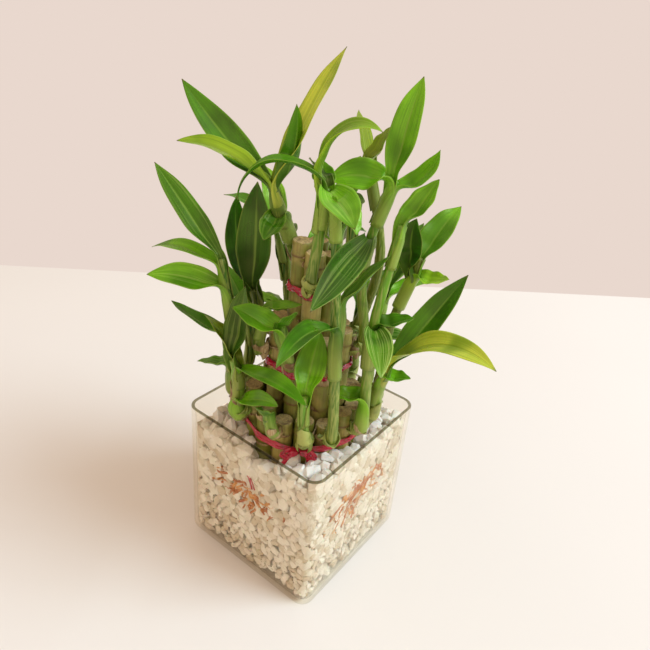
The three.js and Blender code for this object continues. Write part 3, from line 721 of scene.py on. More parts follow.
class BAMBOO_OT_stones(bpy.types.Operator):
    """Fill the vase with broken white stone chips, small ones behind the glass and larger on top"""

    bl_idname = "bamboo.stones"
    bl_label = "Stones"

    def execute(self, context):
        s = context.scene.bamboo_stones
        random = np.random.default_rng(31)
        finish = stone_finish(s, "white_stone")

        def beside_glass(centres):
            inset = 2.2
            room = GLASS_INSIDE - inset
            x, y = np.clip(centres[:, 0], -room, room), np.clip(centres[:, 1], -room, room)
            depth = room - np.maximum(abs(x), abs(y))
            back = np.maximum(depth - 4.5, 0)
            wide = abs(x) > abs(y)
            x = np.where(wide, x + np.sign(x) * back, x)
            y = np.where(wide, y, y + np.sign(y) * back)
            z = np.clip(centres[:, 2], BED_FLOOR + 1.4, bed_top(x, y) - 3)
            return np.stack([x, y, z], axis=-1)

        count = s.side_count
        turn = random.uniform(0, 4, count)
        along = (turn % 1) * 2 - 1
        deep = GLASS_INSIDE - random.uniform(2, 7, count)
        side = turn.astype(int)
        x = np.choose(side, [deep, along * deep, -deep, along * deep])
        y = np.choose(side, [along * deep, deep, along * deep, -deep])
        centres = np.stack([x, y, random.uniform(BED_FLOOR + 2, 84, count)], axis=-1)
        lengths = s.side_size / MM * random.uniform(0.62, 1.35, count)
        lengths *= np.interp(centres[:, 2], [20, 80], [0.85, 1.3])
        for k in range(4):
            here = side == k
            centres[here] = spread_out(centres[here], lengths[here], beside_glass)
        tones = random.beta(2.6, 1.3, count)
        sides = make_piece("stones_side", [stone_parts(random, centres, lengths, tones)], [finish], False)
        settle(sides, "stone_chips", "gravel")

        def on_top(centres):
            room = GLASS_INSIDE - 4.0
            x, y = np.clip(centres[:, 0], -room, room), np.clip(centres[:, 1], -room, room)
            away = np.hypot(x, y)
            out = np.maximum(away, BUNDLE + 1.5) / np.maximum(away, 1e-6)
            x, y = np.clip(x * out, -room, room), np.clip(y * out, -room, room)
            top = bed_top(x, y)
            return np.stack([x, y, np.clip(centres[:, 2], top - 6.0, top)], axis=-1)

        count = s.top_count
        centres = np.stack([*random.uniform(-44, 44, (2, count)), random.uniform(76, 90, count)], axis=-1)
        lengths = s.top_size / MM * random.uniform(0.6, 1.25, count)
        centres = spread_out(on_top(centres), lengths, on_top)
        tones = random.beta(4.0, 1.2, count)
        top = make_piece("stones_top", [stone_parts(random, centres, lengths, tones)], [finish], False)
        settle(top, "stone_chips", "gravel")

        # A dark core under the chips: painted shade in the gaps between them.
        levels = np.array([BED_FLOOR + 0.4, 12.0, 40.0, 70.0, 77.0])
        plan = rounded_square(np.array([42.0, 43.5, 43.5, 43.5, 42.0]), np.full(5, 5.0))
        points, faces = closed_tube(stacked(plan, levels))
        tones = {"stone_tone": np.full(len(points), 0.5)}
        core = make_piece("stones_core", [(points, faces, 0, tones)], [stone_finish(s, "shaded_stone_core", 0.45)])
        settle(core, "stone_chips", "gravel")
        return {"FINISHED"}


# ---- The roots ---------------------------------------------------------------------------

def root_finish(settings):
    """Orange-brown fibrous roots, paler where they are young."""
    finish = Finish("living_root")
    place = finish.place()
    share = finish.between(finish.noise(place, 220.0, 4.0), 0.35, 0.7)
    finish.colour(finish.mix(share, tuple(settings.colour), tuple(settings.pale)))
    finish.set(Roughness=0.45)
    finish.bump(finish.noise(place, 1400.0, 2.0), 0.3, 0.0003)
    return finish.material


def root_paths(random, azimuth, height, count):
    """Wavy lines from under the bundle to the glass, and on along its face, shape (count, 40, 3).

    The reach grows along the line and the bearing drifts. Where a line would pass the glass it
    is held at it, so that its last part lies flat behind the glass.
    """
    along = np.linspace(0, 1, 40)
    reach = 30 + 26 * along + random.normal(0, 1.2, (count, 1))
    drift = random.normal(0, 9, (count, 1)) + random.normal(0, 16, (count, 1)) * along
    waves = sum(
        random.normal(0, 2.2 / k, (count, 1))
        * np.sin(2 * np.pi * (k * along + random.uniform(0, 1, (count, 1))))
        for k in (1, 2, 3)
    )
    turn = np.radians(azimuth + drift + waves)
    z = (height + random.normal(0, 2.6, (count, 1)) - random.uniform(-5, 12, (count, 1)) * along**2
         + 0.8 * waves)
    x, y = reach * np.cos(turn), reach * np.sin(turn)
    room = GLASS_INSIDE - random.uniform(0.9, 1.4, (count, 1))
    return np.stack([np.clip(x, -room, room), np.clip(y, -room, room), np.clip(z, 40, 72)], axis=-1)


class BAMBOO_OT_roots(bpy.types.Operator):
    """Grow the roots that spread from the canes' feet and lie against the glass"""

    bl_idname = "bamboo.roots"
    bl_label = "Roots"

    def execute(self, context):
        s = context.scene.bamboo_roots
        random = np.random.default_rng(7)
        parts = []
        for azimuth, height in ROOT_STRANDS:
            thick = s.radius / MM * random.uniform(0.5, 1.3, s.count)
            for path, radius in zip(root_paths(random, azimuth, height, s.count), thick):
                taper = radius * (1 - 0.6 * np.linspace(0, 1, len(path)))
                parts.append((*closed_tube(carried(path, taper, 6)), 0, {}))
        piece = make_piece("fibrous_roots", parts, [root_finish(s)])
        settle(piece, "roots", "roots")
        return {"FINISHED"}


# ---- The canes ---------------------------------------------------------------------------

def canes():
    """Every cane as (tier, number, its centre, its bearing, its top)."""
    return [
        (tier, number, ring * bearing(first + (number - 1) * 360 / count),
         first + (number - 1) * 360 / count, tops[(number - 1) % len(tops)])
        for tier, (count, ring, first, tops) in TIERS.items() for number in range(1, count + 1)
    ]


def bark_finish(settings):
    """Olive bark that ripens to straw, streaked along the cane, browned at its ring scars."""
    finish = Finish("cane_bark")
    place = finish.place()
    streaks = finish.noise(finish.stretched(place, (900.0, 900.0, 60.0)), 1.0, 4.0)
    patches = finish.noise(place, 70.0, 3.0)
    ripe = finish.math("ADD", finish.attribute("ripe"), finish.between(patches, 0.35, 0.7, -0.3, 0.35))
    bark = finish.mix(finish.between(ripe, 0.15, 0.85), tuple(settings.green), tuple(settings.straw))
    bark = finish.mix(finish.between(streaks, 0.42, 0.72, 0.0, 0.4), bark, tuple(settings.scar))
    speckles = finish.between(finish.noise(place, 420.0, 2.0), 0.62, 0.75, 0.0, 0.5)
    bark = finish.mix(speckles, bark, (0.16, 0.09, 0.03))
    scarred = finish.math("MULTIPLY", finish.attribute("scar"), finish.between(patches, 0.2, 0.6, 0.5, 1.0))
    finish.colour(finish.mix(scarred, bark, tuple(settings.scar)))
    finish.roughness(finish.between(streaks, 0, 1, 0.34, 0.6))
    finish.bump(streaks, 0.3, 0.0003)
    return finish.material


def cut_finish(settings):
    """Sawn, dried wood: tan fibres with darker stains."""
    finish = Finish("cut_wood")
    place = finish.place()
    fibres = finish.noise(place, 1100.0, 4.0)
    stain = finish.noise(place, 260.0, 2.0)
    wood = finish.mix(finish.between(fibres, 0.35, 0.7), tuple(settings.cut), (0.4, 0.27, 0.12))
    finish.colour(finish.mix(finish.between(stain, 0.5, 0.75), wood, (0.26, 0.16, 0.07)))
    finish.set(Roughness=0.8)
    finish.bump(fibres, 0.7, 0.0006)
    return finish.material


def dry_finish():
    """Papery dried sheath: tan, streaked along its fibres."""
    finish = Finish("dry_sheath")
    place = finish.place()
    fibres = finish.noise(finish.stretched(place, (1500.0, 1500.0, 90.0)), 1.0, 3.0)
    share = finish.between(fibres, 0.3, 0.7)
    tan = finish.mix(share, (0.36, 0.22, 0.09), (0.56, 0.42, 0.22))
    finish.colour(finish.mix(finish.between(finish.noise(place, 130.0), 0.45, 0.7), tan, (0.17, 0.09, 0.03)))
    finish.set(Roughness=0.75)
    finish.bump(fibres, 0.5, 0.0004)
    return finish.material


class BAMBOO_OT_canes(bpy.types.Operator):
    """Stand the three tiers of cane cuttings, with their scars, sawn tops and dried sheaths"""

    bl_idname = "bamboo.canes"
    bl_label = "Canes"

    def execute(self, context):
        s = context.scene.bamboo_canes
        finishes = [bark_finish(s), cut_finish(s), dry_finish()]
        random = np.random.default_rng(5)
        for tier, number, centre, turn, top in canes():
            parts = [self.cane(s, random, centre, turn, top), *self.scraps(s, random, centre, top)]
            piece = make_piece(f"bark_{tier}_{number}", parts, finishes)
            settle(piece, "cane_bark", f"cane_{tier}_{number}")
        return {"FINISHED"}

    def scars(self, top):
        """Heights of the ring scars: one just under the top, and down from there."""
        return np.arange(top - 7.5, CANE_FOOT + 6, -17.5)

    def cane(self, s, random, centre, turn, top):
        """A cane: its radius about the axis is a little oval, swells at each scar by a bell curve
        and is nipped in above it, and rises over a rounded rim to the slightly sunken cut."""
        around = 28
        radius = s.radius / MM
        side = np.arange(CANE_FOOT, top - 1.0, 1.2)
        ends = np.array([[0.985, -0.5], [0.94, -0.12], [0.86, 0.0], [0.62, -0.35], [0.3, -0.15]])
        heights = np.concatenate([side, top + ends[:, 1]])
        share = np.concatenate([np.ones(len(side)), ends[:, 0]])
        angle = np.linspace(0, 2 * np.pi, around, endpoint=False)
        tilt = 0.35 * np.sin(angle + random.uniform(0, 6))
        scar = np.zeros((len(heights), around))
        swell = np.zeros((len(heights), around))
        for at in self.scars(top):
            off = heights[:, None] - at + tilt
            scar += np.exp(-(off / 0.75) ** 2)
            swell += 0.5 * np.exp(-(off / 1.5) ** 2) - 0.22 * np.exp(-((off - 2.2) / 0.8) ** 2)
        oval = 0.12 * np.sin(2 * angle + random.uniform(0, 6)) - 0.05
        reach = radius * share[:, None] + (swell + oval) * (share[:, None] > 0.97)
        rings = np.stack([reach * np.cos(angle + np.radians(turn)), reach * np.sin(angle + np.radians(turn)),
                          np.repeat(heights[:, None], around, axis=1)], axis=-1) + centre
        ragged = random.normal(0, 0.14, (len(ends) - 1, around))
        rings[-len(ends) + 1:, :, 2] += ragged
        points, (quads, fans) = closed_tube(rings)
        split = (len(side) + 1) * around
        ripe = np.full(len(points), random.uniform(0.05, 0.75))
        ripe += 0.35 * (1 - smooth(points[:, 2], 60, 92))
        scarred = np.concatenate([scar.ravel(), [0, 0]])
        return points, [quads[:split], quads[split:], fans], [0, 1, 1], {"scar": scarred, "ripe": ripe}

    def scraps(self, s, random, centre, top):
        """Torn rests of sheath: a band of the cane's own curve, ragged above and flared outwards."""
        parts = []
        for at in self.scars(top)[:3]:
            if random.uniform() < 0.35 and at < top - 8:
                continue
            span, start = random.uniform(70, 200), random.uniform(0, 360)
            angle = np.radians(start + np.linspace(0, span, 15))
            height = random.uniform(2.0, 6.5) * (0.45 + 0.55 * random.uniform(0, 1, 15))
            height *= np.sin(np.linspace(0.15, np.pi - 0.15, 15)) ** 0.5
            share = np.linspace(0, 1, 6)[:, None]
            reach = s.radius / MM + 0.5 + random.uniform(0.2, 1.3) * share**2
            z = at - 0.8 + height * share
            x, y = reach * np.cos(angle) + centre[0], reach * np.sin(angle) + centre[1]
            sheet = np.stack([x, y, z], axis=-1)
            points, faces = slab(sheet, 0.24)
            none = np.zeros(len(points))
            parts.append((points, faces, 2, {"scar": none, "ripe": none}))
        return parts


# ---- The shoots --------------------------------------------------------------------------

def leaf_finish():
    """Waxy leaf: its own tone, finely veined along its length, with a pale midrib and foot, a
    yellowish margin and a dry tip. Where it is striped, some veins are broad and pale. The veins run
    between a lighter and a darker copy of the tone, partly vein colour and partly painted sheen and
    painted shade, and broad cloud patches of the darker copy are painted shade."""
    finish = Finish("waxy_leaf")
    tone = finish.attribute("tone", "Color")
    across, along = finish.attribute("across"), finish.attribute("along")
    striped = finish.attribute("striped")
    number = finish.attribute("number")
    place = finish.place()
    lines = finish.combined(finish.math("MULTIPLY", across, 9.0), finish.math("MULTIPLY", along, 0.7), number)
    broad = finish.noise(lines, 1.0, 2.0)
    fine = finish.noise(lines, 3.6, 2.0)
    clouds = finish.noise(place, 34.0, 2.0)
    # Lighter and darker copies of the tone: vein colour, partly painted sheen and painted shade.
    light = finish.mix(1.0, tone, (1.85, 1.7, 2.2), "MULTIPLY")
    dim = finish.mix(1.0, tone, (0.36, 0.5, 0.2), "MULTIPLY")
    leaf = finish.mix(finish.between(broad, 0.3, 0.72, 0.3, 0.75), dim, light)
    leaf = finish.mix(finish.between(fine, 0.35, 0.7, 0.0, 0.3), leaf, light)
    # Painted shade: broad cloud patches of the darker copy.
    leaf = finish.mix(finish.between(clouds, 0.44, 0.62, 0.0, 0.8), leaf, dim)
    pale = (0.42, 0.52, 0.14)
    stripe = finish.math("MULTIPLY", finish.between(broad, 0.5, 0.62), striped)
    leaf = finish.mix(finish.math("MULTIPLY", stripe, 0.65), leaf, pale)
    off = finish.math("ABSOLUTE", across)
    rib = finish.math("MULTIPLY", finish.between(off, 0.0, 0.12, 0.45, 0.0),
                      finish.between(along, 0.55, 1.0, 1.0, 0.0))
    leaf = finish.mix(rib, leaf, (0.28, 0.42, 0.06))
    margin = finish.between(off, 0.93, 0.99, 0.0, 0.3)
    leaf = finish.mix(margin, leaf, (0.36, 0.42, 0.07))
    foot = finish.between(along, -0.7, 0.12, 0.7, 0.0)
    leaf = finish.mix(foot, leaf, (0.3, 0.36, 0.08))
    ragged = finish.math("ADD", along, finish.between(fine, 0.3, 0.7, -0.015, 0.015))
    dry = finish.between(ragged, 0.965, 0.995)
    finish.colour(finish.mix(dry, leaf, (0.1, 0.075, 0.03)))
    finish.roughness(finish.between(clouds, 0.3, 0.7, 0.24, 0.4))
    finish.bump(finish.math("ADD", finish.math("MULTIPLY", broad, 0.6), fine), 0.22, 0.0005)
    finish.set(Subsurface_Weight=0.15, Subsurface_Scale=0.003, Subsurface_Radius=(0.6, 1.0, 0.2),
               Specular_IOR_Level=0.65, Specular_Tint=(1.0, 0.98, 0.4, 1.0))
    return finish.material


def stem_finish(settings):
    """Green stem in pale sheaths, streaked along its length and browned here and there."""
    finish = Finish("sheathed_stem")
    place = finish.place()
    streaks = finish.noise(finish.stretched(place, (1100.0, 1100.0, 70.0)), 1.0, 3.0)
    along = finish.attribute("along")
    tone = finish.attribute("tone", "Color")
    foot = finish.between(along, 0.0, 0.4, 0.6, 0.0)
    stem = finish.mix(foot, tone, tuple(settings.pale))
    stem = finish.mix(finish.between(streaks, 0.38, 0.66, 0.0, 0.7), stem, tuple(settings.pale))
    dark = finish.between(finish.noise(place, 120.0, 2.0), 0.52, 0.75, 0.0, 0.6)
    stem = finish.mix(dark, stem, (0.14, 0.2, 0.03))
    brown = finish.between(finish.noise(place, 300.0, 2.0), 0.66, 0.78, 0.0, 0.7)
    finish.colour(finish.mix(brown, stem, tuple(settings.dry)))
    finish.set(Roughness=0.42)
    finish.bump(streaks, 0.4, 0.0004)
    return finish.material


def stem_line(tier, cane, side, start, tip, bow):
    """The stem's line as a function of the way along it, 0 to 1.

    It is the centripetal Catmull-Rom curve through the neck on the cane's bark, the bend beyond
    it, the middle of the rest with its bow, and the tip. On each span the curve is the cubic
    with the slopes of the non-uniform three-point rule at its ends.
    """
    count, ring, first, _ = TIERS[tier]
    out = bearing(side)
    neck = ring * bearing(first + (cane - 1) * 360 / count) + out * (CANE_RADIUS + STEM_STAND)
    neck[2] = start
    bend = neck + out * STEM_REACH + np.array([0, 0, STEM_REACH])
    tip = np.array(tip, float)
    knots = np.array([neck, bend, (bend + tip) / 2 + np.array([*bow, 0.0]), tip])
    knots = np.concatenate([[2 * knots[0] - knots[1]], knots, [2 * knots[-1] - knots[-2]]])

    def line(t):
        way = np.clip(np.asarray(t, float), 0, 1) * 3
        span = np.minimum(way.astype(int), 2)
        w = (way - span)[..., None]
        a, b, c, d = (knots[span + k] for k in range(4))
        reach = [np.linalg.norm(q - p, axis=-1, keepdims=True) ** 0.5 for p, q in ((a, b), (b, c), (c, d))]
        leave = ((b - a) / reach[0] - (c - a) / (reach[0] + reach[1]) + (c - b) / reach[1]) * reach[1]
        arrive = ((c - b) / reach[1] - (d - b) / (reach[1] + reach[2]) + (d - c) / reach[2]) * reach[1]
        return (b + leave * w + (3 * (c - b) - 2 * leave - arrive) * w**2
                + (2 * (b - c) + leave + arrive) * w**3)

    return line


def leaf_tone(name):
    return np.array([*(linear(c / 255) for c in TONES[name]), 1.0])


def leaf_outline(s):
    """Half of a leaf's width as a share of its widest: a sine that swells, then a cosine that
    draws in to the tip."""
    swell = 0.3 + 0.7 * np.sin(np.pi / 2 * np.clip(s / 0.42, 0, 1)) ** 1.3
    draw = np.cos(np.pi / 2 * np.clip((s - 0.42) / 0.58, 0, 1) ** 1.25) ** 0.9
    return np.where(s < 0.42, swell, np.maximum(draw, 0.02))


def wrapped(path, level, half_width, half_angle, roll=0.0, rise=0.0):
    """A sheet along a path whose cross-section is an arc, shape (steps, LEAF_ACROSS, 3).

    Across it lies level, turned about the path's slope by roll, and over it their cross product.
    At v from -1 to 1 the point is half_width * sin(half_angle v) / half_angle across and
    half_width * (1 - cos(half_angle v)) / half_angle over, plus rise, which may depend on v.
    """
    v = np.linspace(-1, 1, LEAF_ACROSS)
    slope = unit(np.gradient(path, axis=0))
    across = unit(level - slope * (slope @ level)[:, None])
    over = np.cross(slope, across)
    roll = np.radians(np.broadcast_to(roll, len(path)))[:, None]
    across, over = across * np.cos(roll) + over * np.sin(roll), over * np.cos(roll) - across * np.sin(roll)
    angle, width = half_angle[:, None], half_width[:, None]
    x = width * np.sin(angle * v) / angle
    y = width * (1 - np.cos(angle * v)) / angle + rise
    return path[:, None] + across[:, None] * x[..., None] + over[:, None] * y[..., None]


class BAMBOO_OT_shoots(bpy.types.Operator):
    """Grow the leafy shoots: sheathed stems with bracts at their feet and long veined leaves"""

    bl_idname = "bamboo.shoots"
    bl_label = "Shoots"

    def execute(self, context):
        s = context.scene.bamboo_shoots
        finishes = [stem_finish(s), leaf_finish(), dry_finish()]
        random = np.random.default_rng(23)
        for tier, cane, side, start, tip, bow, leaves in SHOOTS:
            line = stem_line(tier, cane, side, start, tip, bow)
            fine = line(np.linspace(0, 1, 200))
            length = np.linalg.norm(np.diff(fine, axis=0), axis=1).sum()
            parts = [self.stem(s, random, line, side, length, leaf_tone(leaves[-1][7]))]
            parts += self.bracts(s, random, line, side, length)
            for rank, leaf in enumerate(leaves):
                parts.append(self.leaf(s, random, line, length, leaf, rank))
            piece = make_piece(f"leafy_{tier}_{cane}", parts, finishes)
            settle(piece, "leaf", f"shoot_{tier}_{cane}")
        return {"FINISHED"}

    def radius(self, s, t):
        """Radius of a stem: it swells from its neck to a bulb, then thins to its tip."""
        neck, base, tip = s.neck / MM, s.base / MM, s.tip / MM
        return np.interp(t, [0, 0.1, 0.2, 0.42, 1], [neck, base, base, (base + 2 * tip) / 3 + 0.2, tip])

    def fields(self, count, tone, across, along, striped=0.0, number=0.0):
        """The point attributes of a part, those of a sheet doubled for its two faces."""
        def spread(value):
            value = np.broadcast_to(np.asarray(value, float), across.shape).ravel()
            return np.tile(value, count // value.size)
        return {"tone": np.broadcast_to(tone, (count, 4)), "across": spread(across), "along": spread(along),
                "striped": spread(striped), "number": spread(number)}

    def stem(self, s, random, line, side, length, top):
        """A stem in stacked sheaths: its radius grows by a tenth along each sheath and falls
        back at its mouth, which is cut slantwise. Its tone goes over from its own to the leaves'."""
        steps, around = max(40, int(length)), 18
        t = np.linspace(0, 1, steps)
        path = line(t)
        path = np.concatenate([path[:1] - bearing(side) * np.array([[3.6], [1.8]]), path])
        t = np.concatenate([[0, 0], t])
        angle = np.linspace(0, 2 * np.pi, around, endpoint=False)
        way = (t * length / 13.0)[:, None] + 0.22 * np.cos(angle - random.uniform(0, 6)) + random.uniform()
        shape = 1 + 0.09 * (way % 1) ** 1.5
        rings = carried(path, self.radius(s, t), around, start=tuple(bearing(side + 90)), shape=shape)
        points, faces = closed_tube(rings)
        along = np.concatenate([np.repeat(t, around), [0, 1]])
        share = smooth(along, 0.2, 0.95)[:, None]
        # Towards its top the stem takes the leaves' tone, painted light or painted shade where that tone is
        # bright or dark.
        tone = (1 - share) * np.array([*s.stem, 1.0]) * random.uniform(0.8, 1.5) + share * top
        return points, faces, 0, self.fields(len(points), tone, np.zeros(len(points)), along)

    def bracts(self, s, random, line, side, length):
        """Short pointed sheaths round the foot of a shoot, whose tips stand off it."""
        parts = []
        for rank, azimuth in enumerate(side + np.array([40, -150, 150, -20]) + random.uniform(-30, 30, 4)):
            low = (1.5 + 3.5 * rank) / length
            high = low + random.uniform(9, 16) / length
            if high > 0.8:
                break
            t = np.linspace(low, high, BRACT_STEPS)
            share = np.linspace(0, 1, BRACT_STEPS)
            hold = self.radius(s, t) * 1.1 + 0.25 + 0.12 * rank
            flare = random.uniform(0.6, 2.6) * share**3
            path = line(t) + bearing(azimuth) * (hold + flare)[:, None]
            half_angle = np.interp(share, [0, 0.45, 0.8, 1], [2.5, 2.1, 1.1, 0.3])
            half_width = hold * half_angle * np.interp(share, [0, 0.7, 1], [1, 0.9, 0.25])
            sheet = wrapped(path, bearing(azimuth + 90), half_width, half_angle)
            points, faces = slab(sheet, 0.3)
            across = np.broadcast_to(np.linspace(-1, 1, LEAF_ACROSS), (BRACT_STEPS, LEAF_ACROSS))
            tone = np.array([*(tuple(s.pale) if rank % 2 else tuple(s.stem)), 1.0])
            fields = self.fields(len(points), tone, across, 0.5 - 0.5 * share[:, None])
            parts.append((points, faces, 2 if random.uniform() < 0.22 else 0, fields))
        return parts

    def leaf(self, s, random, line, length, leaf, rank):
        """One leaf: a sheath that holds the stem runs by a cubic bend into the blade, whose slope
        falls from its rise by its droop times s^1.25. The blade is folded at its midrib and its
        margins ripple by a sine of s."""
        place, azimuth, rise, reach, width, droop, roll, tone = leaf
        place = min(place, LEAF_LAST)
        out = bearing(azimuth)
        t = np.linspace(0, 1, 121)
        slope = np.radians(rise - droop * ((t[1:] + t[:-1]) / 2) ** 1.25)
        steps = (out * np.cos(slope)[:, None] + np.array([0, 0, 1.0]) * np.sin(slope)[:, None]) * reach / 120
        spine = line(place) - LEAF_SINK * out + np.concatenate([np.zeros((1, 3)), np.cumsum(steps, axis=0)])
        held = np.maximum(place - np.linspace(14, 4.5, 7) / length, 0.03)
        hold = self.radius(s, held) * 1.1 + 0.3 + 0.25 * rank
        sheath = line(held) + out * hold[:, None]
        begin = min(0.3, 7.0 / reach)
        blade_at = begin + (1 - begin) * np.linspace(0, 1, 34) ** 0.95
        blade = resampled(spine, t, blade_at)
        gap = np.linalg.norm(blade[0] - sheath[-1])
        leave, arrive = unit(sheath[-1] - sheath[-2]) * gap, unit(blade[1] - blade[0]) * gap
        w = np.linspace(0, 1, 9)[1:-1, None]
        bend = ((2 * w**3 - 3 * w**2 + 1) * sheath[-1] + (w**3 - 2 * w**2 + w) * leave
                + (3 * w**2 - 2 * w**3) * blade[0] + (w**3 - w**2) * arrive)
        path = np.concatenate([sheath, bend, blade])
        q = np.concatenate([np.linspace(-1, -0.4, 7), np.linspace(-0.4, 0, 9)[1:-1],
                            (blade_at - begin) / (1 - begin)])
        half_angle = np.interp(q, [-1, -0.4, 0, 0.12, 0.35, 0.7, 1], [2.7, 2.3, 1.2, 0.75, 0.42, 0.3, 0.2])
        s_blade = np.maximum(begin + (1 - begin) * q, begin)
        wide = width / 2 * leaf_outline(s_blade)
        held_width = np.interp(q, np.linspace(-1, -0.4, 7), hold * np.linspace(2.7, 2.3, 7))
        share = smooth(q, -0.4, 0.04)
        half_width = held_width * (1 - share) + wide * share
        half_width = np.maximum(half_width, 0.12)
        v = np.linspace(-1, 1, LEAF_ACROSS)
        fold = np.interp(q, [-1, -0.2, 0.2, 1], [0, 0.05, 0.26, 0.12])[:, None]
        fold = fold * half_width[:, None] * np.abs(v) ** 1.2
        waves = random.uniform(1.2, 2.6) * 2 * np.pi * q[:, None] + np.where(v < 0, *random.uniform(0, 6, 2))
        ripple = (0.035 * width * smooth(q, 0.05, 0.4)[:, None] * v**2 * np.sin(waves)
                  * (1 - 0.6 * smooth(q, 0.8, 1)[:, None]))
        rib = (-0.22 * np.exp(-((v / 0.1) ** 2)) * smooth(q, -0.3, 0.1)[:, None]
               * (1 - smooth(q, 0.6, 1))[:, None])
        bent = random.uniform(-0.8, 0.8) * smooth(q, 0.2, 1.0) ** 2
        path = path + bearing(azimuth + 90) * bent[:, None]
        margin = fold[:, -1] + half_width * (1 - np.cos(half_angle)) / half_angle
        sunk = -0.5 * (margin * smooth(q, 0.0, 0.25))[:, None]
        sheet = wrapped(path, bearing(azimuth + 90), half_width, half_angle,
                        roll * smooth(q, -0.1, 0.35), fold + ripple + rib + sunk)
        thickness = s.thickness / MM * (1 - 0.6 * v**2) * (1 - 0.5 * smooth(q, 0.7, 1))[:, None]
        points, faces = slab(sheet, thickness)
        tint = leaf_tone(tone) * random.uniform(0.88, 1.14)
        fields = self.fields(len(points), tint, np.broadcast_to(v, (len(q), LEAF_ACROSS)), q[:, None],
                             1.0 if tone == "striped" else random.choice([0.0, 0.0, 0.35]),
                             random.uniform(0, 40))
        return points, faces, 1, fields


# ---- The ribbons -------------------------------------------------------------------------

def satin_finish(settings):
    """Crimson satin: fine threads along it, a bright sheen, and painted shade, a darker crimson, where its
    bump is creased.
    """
    finish = Finish("crimson_satin")
    place = finish.place()
    creases_and_painted_shade = finish.noise(place, 260.0, 3.0)
    threads = finish.noise(finish.stretched(place, (200.0, 200.0, 4200.0)), 1.0, 2.0)
    # Painted shade: the crimson at four tenths, laid where the creases lie.
    deep = [c * 0.4 for c in settings.colour]
    finish.colour(finish.mix(finish.between(creases_and_painted_shade, 0.22, 0.5), deep, tuple(settings.colour)))
    finish.bump(finish.math("ADD", creases_and_painted_shade, finish.math("MULTIPLY", threads, 0.25)), 0.35, 0.0006)
    finish.set(Roughness=0.22, Sheen_Weight=0.3, Sheen_Roughness=0.3, Sheen_Tint=(1.0, 0.55, 0.65, 1.0),
               Coat_Weight=0.6, Coat_Roughness=0.15)
    return finish.material


def round_tier(tier, stand):
    """A closed line drawn tight round a tier, TIE_STEPS points evenly apart, with its outward normals.

    The line is the hull of circles about the canes: round each one it is the centre plus the
    circle's radius times the normal, over the bearings that are nearest to that cane.
    """
    count, ring, first, _ = TIERS[tier]
    turn = first + np.arange(count)[:, None] * 360 / count
    normal = bearing(turn + np.linspace(-180 / count, 180 / count, 9)).reshape(-1, 3)
    centre = np.repeat(ring * bearing(turn[:, 0]), 9, axis=0)
    line = centre + (CANE_RADIUS + stand) * normal
    line, normal = np.concatenate([line, line[:1]]), np.concatenate([normal, normal[:1]])
    way = np.concatenate([[0], np.cumsum(np.linalg.norm(np.diff(line, axis=0), axis=1))])
    at = np.linspace(0, way[-1], TIE_STEPS, endpoint=False)
    return resampled(line, way, at), unit(resampled(normal, way, at))


def strip(path, level, width, thickness, random, crease=0.25):
    """A closed flat ribbon along a path, its width along level, creased by two sines of v."""
    v = np.linspace(-1, 1, 9)
    slope = unit(np.gradient(path, axis=0))
    over = unit(np.cross(slope, level))
    wide = unit(np.cross(over, slope))
    way = np.linspace(0, 1, len(path))[:, None]
    phase = random.uniform(0, 6, 2)
    lift = crease * (np.sin(4 * v + phase[0] + 9 * way) + 0.5 * np.sin(7 * v + phase[1] - 13 * way))
    width = np.broadcast_to(width, len(path))[:, None]
    sheet = path[:, None] + wide[:, None] * (v * width / 2)[..., None] + over[:, None] * lift[..., None]
    return slab(sheet, thickness)


